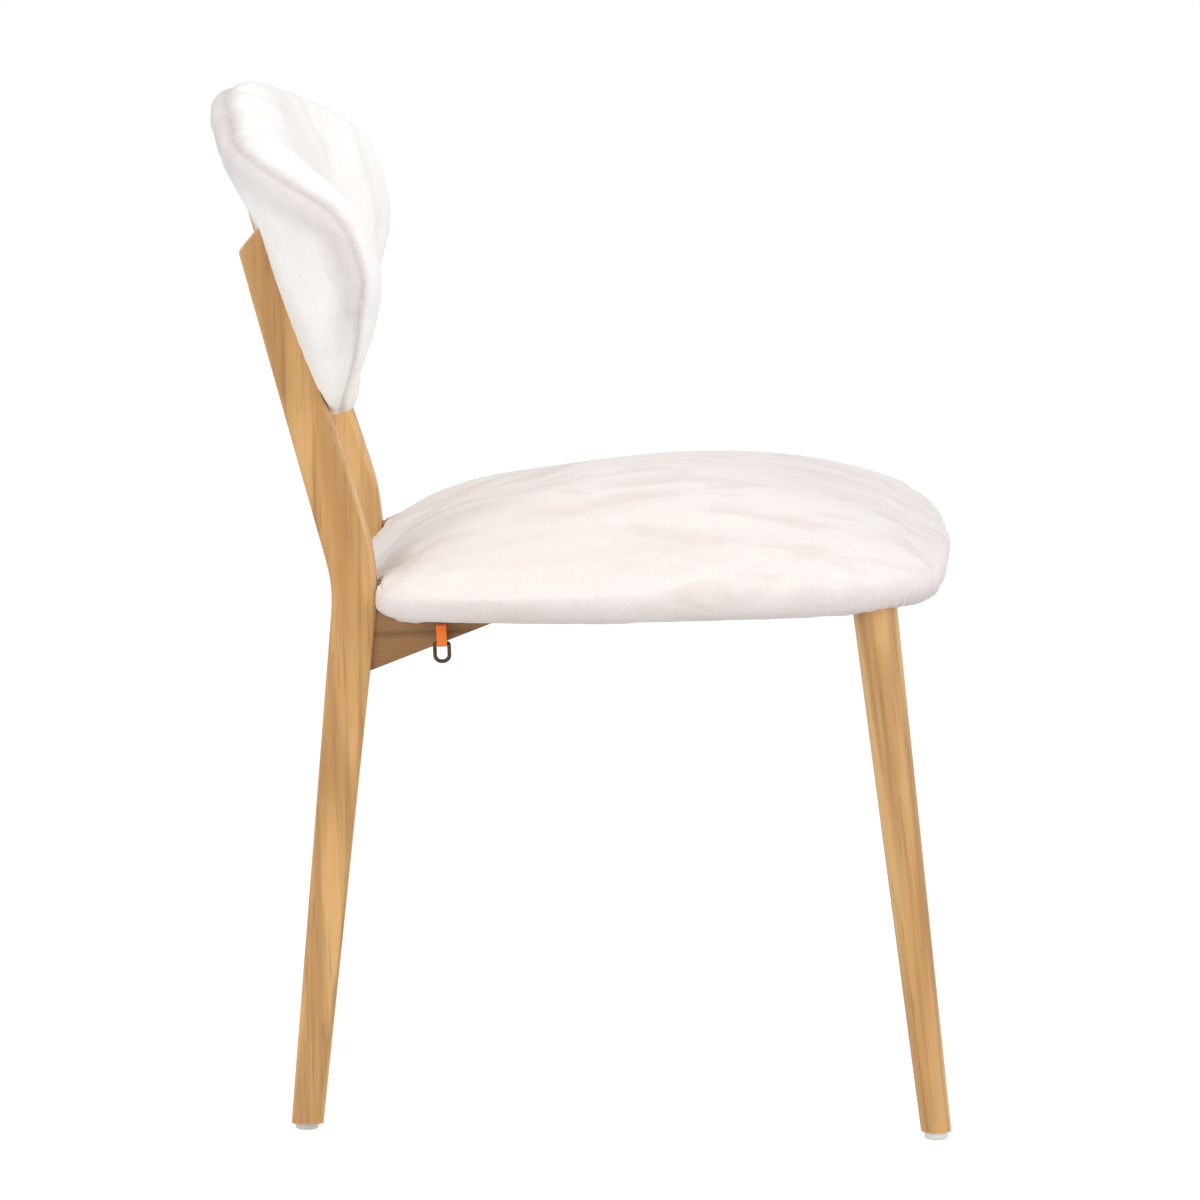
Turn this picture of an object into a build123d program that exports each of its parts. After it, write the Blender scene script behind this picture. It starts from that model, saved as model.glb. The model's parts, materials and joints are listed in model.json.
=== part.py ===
from build123d import *

import os
from math import asin, atan2, cos, degrees, radians, sin, sqrt, tan

# Upholstered dining chair. Millimetres and degrees.
# +X is the sitter's left, +Y the back, +Z up. The origin is on the floor under the middle.

# Fits and clearances
DOWEL_GAP = 0.05
SCREW_GAP = 0.1
SOFT_GAP = 0.3
PIN_GAP = 0.08

# How far the finished chair moves back, so that the origin is under the middle of its outline
CENTRE_BACK = 5.7

# Rear legs, each in one piece with its upright: side profile, thickness and sideways lean
REAR_FOOT_X = 160.0
REAR_LEAN = 2.6
REAR_THICKNESS = 30.0
REAR_EDGE_RADIUS = 5.0
REAR_FOOT_BACK_Y = 224.7
REAR_FOOT_DEPTH = 24.5
KNEE_BACK_Y = 191.4
KNEE_BACK_Z = 422.0
KNEE_BACK_RADIUS = 110.0
KNEE_FRONT_Y = 154.7
KNEE_FRONT_Z = 436.0
KNEE_FRONT_RADIUS = 180.0
UPRIGHT_BACK_RAKE = 15.6
UPRIGHT_FRONT_RAKE = 18.2
UPRIGHT_TOP_Z = 704.5
UPRIGHT_TOP_CUT = 39.0

# Front legs: round and tapered, raked forward and splayed
FRONT_FOOT_X = 199.0
FRONT_FOOT_Y = -273.0
FRONT_TOP_X = 176.0
FRONT_TOP_Y = -225.4
FRONT_TOP_Z = 400.0
FRONT_TOP_DIAMETER = 34.0
FRONT_FOOT_DIAMETER = 23.0

# Floor glides
GLIDE_HEIGHT = 6.0
GLIDE_DIAMETER = 18.0
GLIDE_ROUNDING = 1.5
NAIL_DIAMETER = 2.6
NAIL_LENGTH = 16.0
NAIL_HEAD_DIAMETER = 8.0
NAIL_HEAD_HEIGHT = 1.6

# Seat frame under the upholstery, in the tilted seat plane
SEAT_Z = 400.5
SEAT_TILT = 2.1
RAIL_HEIGHT = 30.0
RAIL_THICKNESS = 20.0
HAUNCH_DROP = 36.0
HAUNCH_LENGTH = 98.0
REAR_RAIL_Y = 127.0
BLOCK_LEG = 52.0
BLOCK_HEIGHT = 24.0
DOWEL_DIAMETER = 6.0
DOWEL_LENGTH = 28.0
DOWEL_LOW_SHARE = 0.25
DOWEL_HIGH_SHARE = 0.78

# Seat board, cushion and cover
BOARD_THICKNESS = 10.0
BOARD_INSET = 18.0
SEAT_REAR_SET = 3.0
SEAT_REAR_WIDTH = 346.0
SEAT_WIDTH = 443.0
SEAT_WIDEST_Y = -75.0
SEAT_FRONT_CORNER_WIDTH = 418.0
SEAT_FRONT_CORNER_Y = -262.0
SEAT_FRONT_Y = -279.5
SEAT_REAR_RADIUS = 28.0
SEAT_FRONT_RADIUS = 78.0
SEAT_HEIGHT = 90.5
SEAT_EQUATOR = 30.0
SEAT_DRAW_IN = 0.055
SEAT_CROWN_FORWARD = 36.0
SEAT_FULLNESS = 1.3
SEAT_RINGS = (1.0, 0.9, 0.72, 0.5, 0.28, 0.08)
COVER_THICKNESS = 1.6
HEM_LAP = 8.0
DUST_INSET = 3.0
DUST_THICKNESS = 0.8

# Backrest cushion: oval outline, wings curved forward, leaned back
PAD_RAKE = 18.0
PAD_Y = 242.0
PAD_Z = 664.6
PAD_HALF_WIDTH = 230.0
PAD_RISE = 119.0
PAD_RISE_END_RADIUS = 80.0
PAD_DROP = 137.0
PAD_DROP_END_RADIUS = 126.0
PAD_BACK_RADIUS = 2500.0
PAD_FLAT_HALF = 118.0
PAD_WING_TURN = 64.5
PAD_THICKNESS = 46.0
PAD_EDGE_BULGE = 11.0
PAD_STEPS = 4
PAD_LAST_ANGLE = 84.0
SHELL_DEPTH = 9.0
SHELL_THICKNESS = 10.0
SEAM_DEPTH = 21.0

# Backrest bolts
BOLT_DIAMETER = 6.0
BOLT_HEAD_DIAMETER = 11.0
BOLT_HEAD_HEIGHT = 4.0
BOLT_GRIP = 13.0
BOLT_LOW_H = -86.0
BOLT_HIGH_H = -8.0
INSERT_DIAMETER = 10.0

# Screws
SCREW_DIAMETER = 4.0
SCREW_HEAD_DIAMETER = 8.0
SCREW_HEAD_HEIGHT = 2.4
SCREW_BITE = 18.0

# Hanging strap and ring under the right side of the seat
STRAP_X = -165.0
STRAP_Y = 108.5
STRAP_WIDTH = 7.6
STRAP_THICKNESS = 1.2
STRAP_DROP = 14.5
STRAP_TAB = 5.5
RING_WIRE = 3.0
RING_WIDTH = 14.0
RING_DROP = 14.1


def mirrored(shape):
    return mirror(shape, about=Plane.YZ)


def both_sides(shape):
    return [shape, mirrored(shape)]


def cut_all(shape, tools):
    for tool in tools:
        shape = shape - tool
    return shape


def rod(start, end, radius):
    path = Vector(*end) - Vector(*start)
    plane = Plane(origin=start, z_dir=path)
    return plane * Pos(0, 0, path.length / 2) * Cylinder(radius, path.length)


def group(shapes):
    return Compound(children=[solid for shape in shapes for solid in shape.solids()])


def save(shape, node):
    solids = (Pos(0, CENTRE_BACK, 0) * shape).solids()
    shape = solids[0] if len(solids) == 1 else Compound(children=list(solids))
    shape.label = node
    export_step(shape, f"parts/{node}.step")


# Places derived from the sizes
LEAN_SLOPE = tan(radians(REAR_LEAN))
SEAT = Pos(0, 0, SEAT_Z) * Rot(-SEAT_TILT, 0, 0)
PAD = Plane(
    origin=(0, PAD_Y, PAD_Z),
    x_dir=(1, 0, 0),
    z_dir=(0, -cos(radians(PAD_RAKE)), sin(radians(PAD_RAKE))),
)
FRONT_SLOPE_X = (FRONT_TOP_X - FRONT_FOOT_X) / FRONT_TOP_Z
FRONT_SLOPE_Y = (FRONT_TOP_Y - FRONT_FOOT_Y) / FRONT_TOP_Z
FRONT_TAPER = (FRONT_TOP_DIAMETER - FRONT_FOOT_DIAMETER) / 2 / FRONT_TOP_Z


def rear_leg_x(height):
    return REAR_FOOT_X - LEAN_SLOPE * height


def rear_leg_front_y(height):
    share = height / KNEE_FRONT_Z
    foot_front = REAR_FOOT_BACK_Y - REAR_FOOT_DEPTH
    return foot_front + share * (KNEE_FRONT_Y - foot_front)


def front_leg_point(height):
    return FRONT_FOOT_X + FRONT_SLOPE_X * height, FRONT_FOOT_Y + FRONT_SLOPE_Y * height, height


# Rear leg and upright
def rear_leg_blank():
    back_slope = tan(radians(UPRIGHT_BACK_RAKE))
    front_slope = tan(radians(UPRIGHT_FRONT_RAKE))
    top_y = KNEE_FRONT_Y + front_slope * (UPRIGHT_TOP_Z - KNEE_FRONT_Z)
    cut = radians(UPRIGHT_TOP_CUT)
    back_y = KNEE_BACK_Y + back_slope * (UPRIGHT_TOP_Z - KNEE_BACK_Z)
    run = (back_y - top_y) / (sin(cut) + back_slope * cos(cut))
    outline = FilletPolyline(
        (REAR_FOOT_BACK_Y - REAR_FOOT_DEPTH, 0),
        (KNEE_FRONT_Y, KNEE_FRONT_Z),
        (top_y, UPRIGHT_TOP_Z),
        (top_y + run * sin(cut), UPRIGHT_TOP_Z - run * cos(cut)),
        (KNEE_BACK_Y, KNEE_BACK_Z),
        (REAR_FOOT_BACK_Y, 0),
        radius=[0, KNEE_FRONT_RADIUS, 0, 0, KNEE_BACK_RADIUS, 0],
        close=True,
    )
    leg = extrude(Plane.YZ * make_face(outline), REAR_THICKNESS / 2, both=True)
    long_edges = [edge for edge in leg.edges() if edge.length > REAR_THICKNESS * 1.1]
    leg = fillet(long_edges, REAR_EDGE_RADIUS)
    leg = Pos(REAR_FOOT_X, 0, 0) * Rot(0, -REAR_LEAN, 0) * leg
    above = Pos(REAR_FOOT_X, 0, GLIDE_HEIGHT + 500) * Box(400, 900, 1000)
    return leg & above


# Front leg, a tapered round that runs up into the seat frame
def front_leg_blank(grow):
    top = FRONT_TOP_Z + 2 * RAIL_HEIGHT
    foot = front_leg_point(0)
    axis = Plane(origin=foot, z_dir=Vector(*front_leg_point(top)) - Vector(*foot))
    length = (Vector(*front_leg_point(top)) - Vector(*foot)).length
    foot_radius = FRONT_FOOT_DIAMETER / 2 + grow
    top_radius = foot_radius + FRONT_TAPER * top
    cone = axis * Pos(0, 0, length / 2) * Cone(foot_radius, top_radius, length)
    above = Pos(0, 0, GLIDE_HEIGHT + 500) * Box(1200, 1200, 1000)
    under_board = SEAT * Pos(0, 0, RAIL_HEIGHT - 500) * Box(1200, 1200, 1000)
    return cone & above & under_board


# Seat frame, drawn flat in the seat plane
RAIL_REAR_Y = rear_leg_front_y(SEAT_Z)
RAIL_REAR_X = rear_leg_x(SEAT_Z)
RAIL_FRONT_X, RAIL_FRONT_Y, _ = front_leg_point(FRONT_TOP_Z + RAIL_HEIGHT / 2)
RAIL_TURN = atan2(RAIL_FRONT_X - RAIL_REAR_X, RAIL_REAR_Y - RAIL_FRONT_Y)
RAIL_LENGTH = sqrt((RAIL_FRONT_X - RAIL_REAR_X) ** 2 + (RAIL_REAR_Y - RAIL_FRONT_Y) ** 2)


def side_rail_x(y):
    return RAIL_REAR_X + (RAIL_REAR_Y - y) * tan(RAIL_TURN)


def side_rail_blank(grow):
    into_leg = RAIL_THICKNESS / 2
    slope = HAUNCH_DROP / HAUNCH_LENGTH
    outline = Polyline(
        (into_leg, RAIL_HEIGHT + grow),
        (-RAIL_LENGTH, RAIL_HEIGHT + grow),
        (-RAIL_LENGTH, -grow),
        (-HAUNCH_LENGTH, -grow),
        (into_leg, -HAUNCH_DROP - slope * into_leg - grow),
        close=True,
    )
    rail = extrude(Plane.YZ * make_face(outline), RAIL_THICKNESS / 2 + grow, both=True)
    return Pos(RAIL_REAR_X, RAIL_REAR_Y, 0) * Rot(0, 0, degrees(RAIL_TURN)) * rail


def cross_rail(y):
    half = side_rail_x(y)
    return Pos(0, y, RAIL_HEIGHT / 2) * Box(2 * half, RAIL_THICKNESS, RAIL_HEIGHT)


def frame_outline(grow):
    half = RAIL_THICKNESS / 2 / cos(RAIL_TURN) + grow
    rear = REAR_RAIL_Y + RAIL_THICKNESS / 2 + grow
    front = RAIL_FRONT_Y - RAIL_THICKNESS / 2 - grow
    rear_x = side_rail_x(rear) + half
    front_x = side_rail_x(front) + half
    return make_face(Polyline((-rear_x, rear), (rear_x, rear), (front_x, front), (-front_x, front), close=True))


def corner_block(y, inward):
    corner_x = side_rail_x(y) - RAIL_THICKNESS / 2 / cos(RAIL_TURN)
    far_y = y + inward * BLOCK_LEG
    far_x = side_rail_x(far_y) - RAIL_THICKNESS / 2 / cos(RAIL_TURN)
    face = make_face(Polyline((corner_x, y), (corner_x - BLOCK_LEG, y), (far_x, far_y), close=True))
    return Pos(0, 0, RAIL_HEIGHT - BLOCK_HEIGHT) * extrude(face, BLOCK_HEIGHT)


# Seat cushion: plan outline in lines and arcs, stacked into a dome
SEAT_REAR_Y = KNEE_FRONT_Y - SEAT_REAR_SET


def seat_outline(grow):
    rear_y = SEAT_REAR_Y + grow
    front_y = SEAT_FRONT_Y - grow
    rear_x = SEAT_REAR_WIDTH / 2 + grow
    side_x = SEAT_WIDTH / 2 + grow
    corner_x = SEAT_FRONT_CORNER_WIDTH / 2 + grow
    corner_y = SEAT_FRONT_CORNER_Y - grow
    face = make_face([
        Line((-rear_x, rear_y), (rear_x, rear_y)),
        ThreePointArc((rear_x, rear_y), (side_x, SEAT_WIDEST_Y), (corner_x, corner_y)),
        ThreePointArc((corner_x, corner_y), (0, front_y), (-corner_x, corner_y)),
        ThreePointArc((-corner_x, corner_y), (-side_x, SEAT_WIDEST_Y), (-rear_x, rear_y)),
    ])
    face = fillet(face.vertices().sort_by(Axis.Y)[:2], SEAT_FRONT_RADIUS + grow)
    return fillet(face.vertices().sort_by(Axis.Y)[-2:], SEAT_REAR_RADIUS + grow)


def seat_form(grow):
    outline = seat_outline(grow)
    middle_y = (SEAT_REAR_Y + SEAT_FRONT_Y) / 2
    centred = Pos(0, -middle_y, 0) * outline
    sections = [(1 - SEAT_DRAW_IN, -grow)]
    for size in SEAT_RINGS:
        share = (1 - size ** 2) ** (1 / SEAT_FULLNESS)
        sections.append((size, SEAT_EQUATOR + share * (SEAT_HEIGHT + grow - SEAT_EQUATOR)))
    faces = []
    for size, height in sections:
        forward = SEAT_CROWN_FORWARD * (1 - size)
        faces.append(Pos(0, middle_y - forward, height) * scale(centred, by=size))
    return loft(faces)


# Backrest cushion: sections across the plan curve of its back, lofted from tip to tip
FLAT_TURN = asin(PAD_FLAT_HALF / PAD_BACK_RADIUS)
PAD_WING_RADIUS = (PAD_HALF_WIDTH - PAD_FLAT_HALF) / (sin(radians(PAD_WING_TURN)) - sin(FLAT_TURN))
WING_X = PAD_FLAT_HALF - PAD_WING_RADIUS * sin(FLAT_TURN)
WING_N = PAD_BACK_RADIUS - (PAD_BACK_RADIUS - PAD_WING_RADIUS) * cos(FLAT_TURN)


def pad_turn(t):
    if t <= PAD_FLAT_HALF:
        return asin(t / PAD_BACK_RADIUS)
    return asin((t - WING_X) / PAD_WING_RADIUS)


def pad_back(t):
    turn = pad_turn(t)
    if t <= PAD_FLAT_HALF:
        return PAD_BACK_RADIUS * (1 - cos(turn))
    return WING_N - PAD_WING_RADIUS * cos(turn)


def oval_height(t, half_width, rise, end_radius):
    end_x = half_width - end_radius
    radius = (end_x ** 2 + rise ** 2 - end_radius ** 2) / 2 / (rise - end_radius)
    if t <= radius * end_x / (radius - end_radius):
        return rise - radius + sqrt(radius ** 2 - t ** 2)
    return sqrt(end_radius ** 2 - (t - end_x) ** 2)


def pad_section(share, grow):
    side = 1 if share >= 0 else -1
    reach = abs(share)
    t = reach * PAD_HALF_WIDTH
    half_width = PAD_HALF_WIDTH
    top = oval_height(t, half_width, PAD_RISE, PAD_RISE_END_RADIUS) + grow
    bottom = -oval_height(t, half_width, PAD_DROP, PAD_DROP_END_RADIUS) - grow
    base = PAD_THICKNESS * (1 - reach ** 10) ** 0.33
    back = 0.45 * (PAD_THICKNESS - base) - grow
    thickness = base + 2 * grow
    bulge = min(PAD_EDGE_BULGE, 0.3 * thickness)
    rear = back + 0.1 * thickness
    front = back + 0.82 * thickness
    turn = pad_turn(t)
    past = grow * reach ** 12

    def place(height, depth):
        x = t + past * cos(turn) - depth * sin(turn)
        n = pad_back(t) + past * sin(turn) + depth * cos(turn)
        return side * x, height, n

    middle = (top + bottom) / 2
    depth_middle = (rear + front) / 2
    return make_face([
        ThreePointArc(place(bottom + bulge, rear), place(middle, back), place(top - bulge, rear)),
        ThreePointArc(place(top - bulge, rear), place(top, depth_middle), place(top - bulge, front)),
        ThreePointArc(place(top - bulge, front), place(middle, back + thickness), place(bottom + bulge, front)),
        ThreePointArc(place(bottom + bulge, front), place(bottom, depth_middle), place(bottom + bulge, rear)),
    ])


def pad_form(grow):
    steps = range(-PAD_STEPS, PAD_STEPS + 1)
    shares = [sin(radians(PAD_LAST_ANGLE * step / PAD_STEPS)) for step in steps]
    return loft([pad_section(share, grow) for share in shares])


# The slab in front of the pad's back surface, from a given depth inwards
def pad_front_of(depth):
    end = radians(80)
    half = PAD_FLAT_HALF - depth * sin(FLAT_TURN)
    flat_n = pad_back(PAD_FLAT_HALF) + depth * cos(FLAT_TURN)
    wing = PAD_WING_RADIUS - depth
    middle = (FLAT_TURN + end) / 2
    arc_mid = (WING_X + wing * sin(middle), WING_N - wing * cos(middle))
    arc_end = (WING_X + wing * sin(end), WING_N - wing * cos(end))
    far = WING_N + 60
    face = make_face([
        ThreePointArc((-half, flat_n), (0, depth), (half, flat_n)),
        ThreePointArc((half, flat_n), arc_mid, arc_end),
        Line(arc_end, (arc_end[0], far)),
        Line((arc_end[0], far), (-arc_end[0], far)),
        Line((-arc_end[0], far), (-arc_end[0], arc_end[1])),
        ThreePointArc((-arc_end[0], arc_end[1]), (-arc_mid[0], arc_mid[1]), (-half, flat_n)),
    ])
    plan = Plane(origin=(0, 0, 0), x_dir=(1, 0, 0), z_dir=(0, -1, 0))
    return extrude(plan * face, 2 * PAD_DROP, both=True)


# Floor glide with its moulded-in nail
def glide_nail(foot):
    x, y = foot
    head_z = GLIDE_HEIGHT / 2
    head = Pos(x, y, head_z) * Cylinder(NAIL_HEAD_DIAMETER / 2, NAIL_HEAD_HEIGHT)
    return head + rod((x, y, head_z), (x, y, GLIDE_HEIGHT + NAIL_LENGTH), NAIL_DIAMETER / 2)


def glide(foot):
    disc = Pos(foot[0], foot[1], GLIDE_HEIGHT / 2) * Cylinder(GLIDE_DIAMETER / 2, GLIDE_HEIGHT)
    disc = fillet(disc.edges().sort_by(Axis.Z)[0], GLIDE_ROUNDING)
    return disc - glide_nail(foot)


def nail_hole(foot):
    radius = NAIL_DIAMETER / 2 + SCREW_GAP
    return rod((*foot, 0), (*foot, GLIDE_HEIGHT + NAIL_LENGTH + SCREW_GAP), radius)


# Screw with a flat head, from the outside of its head to its tip
def screw(head, tip):
    path = Vector(*tip) - Vector(*head)
    neck = Vector(*head) + path.normalized() * SCREW_HEAD_HEIGHT
    return rod(head, tuple(neck), SCREW_HEAD_DIAMETER / 2) + rod(head, tip, SCREW_DIAMETER / 2)


def screw_hole(head, tip):
    path = (Vector(*tip) - Vector(*head)).normalized()
    neck = Vector(*head) + path * SCREW_HEAD_HEIGHT
    outside = Vector(*head) - path * BLOCK_LEG
    end = Vector(*tip) + path * SCREW_GAP
    wide = rod(tuple(outside), tuple(neck), SCREW_HEAD_DIAMETER / 2 + SCREW_GAP)
    return wide + rod(head, tuple(end), SCREW_DIAMETER / 2 + SCREW_GAP)


def dowel(middle, direction, grow):
    reach = direction.normalized() * (DOWEL_LENGTH / 2 + grow)
    start = Vector(*middle) - reach
    end = Vector(*middle) + reach
    return rod(tuple(start), tuple(end), DOWEL_DIAMETER / 2 + grow)


# Frame dowels on the left side, in the seat plane
def left_dowels(grow):
    low = DOWEL_LOW_SHARE * RAIL_HEIGHT
    high = DOWEL_HIGH_SHARE * RAIL_HEIGHT
    half_way = (low + high) / 2
    along = Vector(-sin(RAIL_TURN), cos(RAIL_TURN), 0)
    leg_radius = FRONT_TOP_DIAMETER / 2
    front_x, front_y, _ = front_leg_point(FRONT_TOP_Z + RAIL_HEIGHT / 2)
    pegs = []
    for height in (low, high):
        pegs.append(dowel((RAIL_REAR_X, RAIL_REAR_Y, height), along, grow))
        joint = Vector(front_x, front_y, height) + along * leg_radius
        pegs.append(dowel(tuple(joint), along, grow))
        inner_x = side_rail_x(REAR_RAIL_Y) - RAIL_THICKNESS / 2
        pegs.append(dowel((inner_x, REAR_RAIL_Y, height), Vector(1, 0, 0), grow))
    pegs.append(dowel((front_x - leg_radius, front_y, half_way), Vector(1, 0, 0), grow))
    return [SEAT * peg for peg in pegs]


# Screw lines, each from the head to the tip, in the seat plane
def block_screw_lines(y, inward):
    height = RAIL_HEIGHT - BLOCK_HEIGHT / 2
    corner_x = side_rail_x(y) - RAIL_THICKNESS / 2
    set_off = 0.62 * BLOCK_LEG
    web = BLOCK_LEG - set_off
    bite = 0.6 * RAIL_THICKNESS
    head = 0.75 * web
    side_y = y + inward * set_off
    side_x = side_rail_x(side_y) - RAIL_THICKNESS / 2
    return [
        ((side_x - head, side_y, height), (side_x + bite, side_y, height)),
        ((corner_x - set_off, y + inward * head, height), (corner_x - set_off, y - inward * bite, height)),
    ]


def board_screw_lines():
    top = RAIL_HEIGHT + BOARD_THICKNESS - SOFT_GAP
    tip = RAIL_HEIGHT - SCREW_BITE
    spots = [(side_rail_x(y), y) for y in (0.3 * REAR_RAIL_Y, 0.45 * RAIL_FRONT_Y)]
    spots.append((0.4 * RAIL_REAR_X, REAR_RAIL_Y - 0.2 * RAIL_THICKNESS))
    spots.append((0.45 * RAIL_FRONT_X, RAIL_FRONT_Y))
    return [((x, y, top), (x, y, tip)) for x, y in spots]


# Strap loop with sewn tabs, and the ring that swings in it
STRAP_AXIS_Z = -COVER_THICKNESS - STRAP_DROP
STRAP = SEAT * Pos(STRAP_X, STRAP_Y, STRAP_AXIS_Z)


def strap_profile():
    inner = RING_WIRE / 2 + PIN_GAP
    outer = inner + STRAP_THICKNESS
    face = Circle(outer) + Pos(0, STRAP_DROP / 2) * Rectangle(2 * outer, STRAP_DROP)
    tab_length = STRAP_TAB + outer
    for side in (-1, 1):
        tab_x = side * tab_length / 2
        face = face + Pos(tab_x, STRAP_DROP - STRAP_THICKNESS / 2) * Rectangle(tab_length, STRAP_THICKNESS)
    slot_height = STRAP_DROP + STRAP_THICKNESS
    return face - Circle(inner) - Pos(0, slot_height / 2) * Rectangle(2 * inner, slot_height)


def hang_strap():
    section = Plane(origin=(0, 0, 0), x_dir=(1, 0, 0), z_dir=(0, -1, 0)) * strap_profile()
    return extrude(section, STRAP_WIDTH / 2, both=True)


def hang_ring():
    half = RING_WIDTH / 2 - RING_WIRE / 2
    corner = 0.62 * RING_WIRE
    path = FilletPolyline(
        (0, 0),
        (half, 0),
        (half, -RING_DROP),
        (-half, -RING_DROP),
        (-half, 0),
        radius=[0, corner, 0.9 * half, 0.9 * half, corner],
        close=True,
    )
    section = Plane(origin=(0, 0, 0), z_dir=(1, 0, 0)) * Circle(RING_WIRE / 2)
    ring = sweep(section, path=path)
    upright = Plane(origin=(0, 0, 0), x_dir=(0, 1, 0), z_dir=(1, 0, 0))
    return upright * ring


# Backrest bolt lines in the pad plane: the bolt's place across, up, and its contact depth
def bolt_spots():
    spots = []
    for height in (BOLT_LOW_H, BOLT_HIGH_H):
        across = rear_leg_x(PAD_Z + height * cos(radians(PAD_RAKE)))
        spots.append((across, height, pad_back(across)))
    return spots


def bolt_rod(spot, start, end, radius):
    across, height, contact = spot
    return PAD * rod((across, height, contact + start), (across, height, contact + end), radius)


def main():
    os.makedirs("parts", exist_ok=True)
    rear_foot = (rear_leg_x(GLIDE_HEIGHT), REAR_FOOT_BACK_Y - REAR_FOOT_DEPTH / 2)
    front_foot = front_leg_point(GLIDE_HEIGHT)[:2]
    dowel_holes = left_dowels(DOWEL_GAP)
    dowel_holes = dowel_holes + [mirrored(hole) for hole in dowel_holes]

    # Backrest cushion in layers
    notch = PAD * pad_form(COVER_THICKNESS + SOFT_GAP)
    pad_outside = PAD * pad_form(COVER_THICKNESS)
    pad_inside = PAD * pad_form(0)
    shell_slab = PAD * (pad_front_of(SHELL_DEPTH) - pad_front_of(SHELL_DEPTH + SHELL_THICKNESS))
    shell_whole = pad_inside & shell_slab
    foam_front = pad_inside & (PAD * pad_front_of(SHELL_DEPTH + SHELL_THICKNESS))
    wadding = pad_inside - PAD * pad_front_of(SHELL_DEPTH)
    skin = pad_outside - pad_inside
    seam_slab = PAD * pad_front_of(SEAM_DEPTH)
    front_cover = skin & seam_slab
    rear_cover = skin - seam_slab

    # Bolts through the uprights
    grip = -COVER_THICKNESS - SOFT_GAP - BOLT_GRIP
    shell_face = SHELL_DEPTH + SHELL_THICKNESS
    bolts = []
    inserts = []
    upright_holes = []
    soft_holes = []
    insert_holes = []
    for spot in bolt_spots():
        shank = bolt_rod(spot, grip, shell_face - 1, BOLT_DIAMETER / 2)
        bolts.append(shank + bolt_rod(spot, grip - BOLT_HEAD_HEIGHT, grip, BOLT_HEAD_DIAMETER / 2))
        insert = bolt_rod(spot, 0, 2 * shell_face, INSERT_DIAMETER / 2) & shell_whole
        inserts.append(insert - bolt_rod(spot, 0, 2 * shell_face, BOLT_DIAMETER / 2 + DOWEL_GAP))
        upright_holes.append(bolt_rod(spot, grip - 1, shell_face, BOLT_DIAMETER / 2 + SCREW_GAP))
        upright_holes.append(bolt_rod(spot, grip - 60, grip, BOLT_HEAD_DIAMETER / 2 + SOFT_GAP))
        soft_holes.append(bolt_rod(spot, grip, shell_face, BOLT_DIAMETER / 2 + SOFT_GAP))
        insert_holes.append(bolt_rod(spot, 0, 2 * shell_face, INSERT_DIAMETER / 2 + DOWEL_GAP))
    soft_holes = soft_holes + [mirrored(hole) for hole in soft_holes]
    insert_holes = insert_holes + [mirrored(hole) for hole in insert_holes]

    save(cut_all(shell_whole, insert_holes), "backrest_shell")
    save(foam_front, "backrest_foam")
    save(cut_all(wadding, soft_holes), "backrest_wadding")
    save(front_cover, "backrest_front_cover")
    save(cut_all(rear_cover, soft_holes), "backrest_rear_cover")
    save(group(bolts + [mirrored(bolt) for bolt in bolts]), "backrest_bolts")
    save(group(inserts + [mirrored(insert) for insert in inserts]), "backrest_insert_nuts")

    # Legs and seat frame
    rear_leg = rear_leg_blank()
    front_leg = front_leg_blank(0)
    left_rail = SEAT * side_rail_blank(0)
    left_rail = left_rail - rear_leg - front_leg_blank(DOWEL_GAP)
    front_rail = SEAT * cross_rail(RAIL_FRONT_Y)
    front_rail = cut_all(front_rail, both_sides(front_leg_blank(DOWEL_GAP)))
    front_rail = cut_all(front_rail, both_sides(left_rail))
    rear_rail = cut_all(SEAT * cross_rail(REAR_RAIL_Y), both_sides(left_rail))
    front_y = RAIL_FRONT_Y + RAIL_THICKNESS / 2
    rear_y = REAR_RAIL_Y - RAIL_THICKNESS / 2
    front_block = SEAT * corner_block(front_y, 1) - front_leg_blank(DOWEL_GAP)
    rear_block = SEAT * corner_block(rear_y, -1)

    block_lines = block_screw_lines(front_y, 1) + block_screw_lines(rear_y, -1)
    block_screws = [SEAT * screw(head, tip) for head, tip in block_lines]
    block_holes = [SEAT * screw_hole(head, tip) for head, tip in block_lines]
    board_screws = [SEAT * screw(head, tip) for head, tip in board_screw_lines()]
    board_holes = [SEAT * screw_hole(head, tip) for head, tip in board_screw_lines()]
    frame_holes = dowel_holes + block_holes + board_holes
    frame_holes = frame_holes + [mirrored(hole) for hole in block_holes + board_holes]

    rear_leg_done = cut_all(rear_leg - notch, dowel_holes[:7] + upright_holes + [nail_hole(rear_foot)])
    front_leg_done = cut_all(front_leg, dowel_holes[:7] + [nail_hole(front_foot)])
    rail_done = cut_all(left_rail, dowel_holes[:7] + block_holes + board_holes)
    for node, shape in (
        ("rear_leg", rear_leg_done),
        ("front_leg", front_leg_done),
        ("side_rail", rail_done),
        ("corner_block_front", cut_all(front_block, block_holes)),
        ("corner_block_rear", cut_all(rear_block, block_holes)),
        ("glide_front", glide(front_foot)),
        ("glide_rear", glide(rear_foot)),
    ):
        save(shape, node + "_left")
        save(mirrored(shape), node + "_right")
    save(cut_all(front_rail, frame_holes), "front_rail")
    save(cut_all(rear_rail, frame_holes), "rear_rail")

    dowels = left_dowels(0)
    nails = [glide_nail(front_foot), glide_nail(rear_foot)]
    save(group(dowels + [mirrored(peg) for peg in dowels]), "frame_dowels")
    save(group(nails + [mirrored(nail) for nail in nails]), "glide_nails")
    save(group(block_screws + [mirrored(item) for item in block_screws]), "corner_block_screws")
    save(group(board_screws + [mirrored(item) for item in board_screws]), "seat_board_screws")

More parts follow.
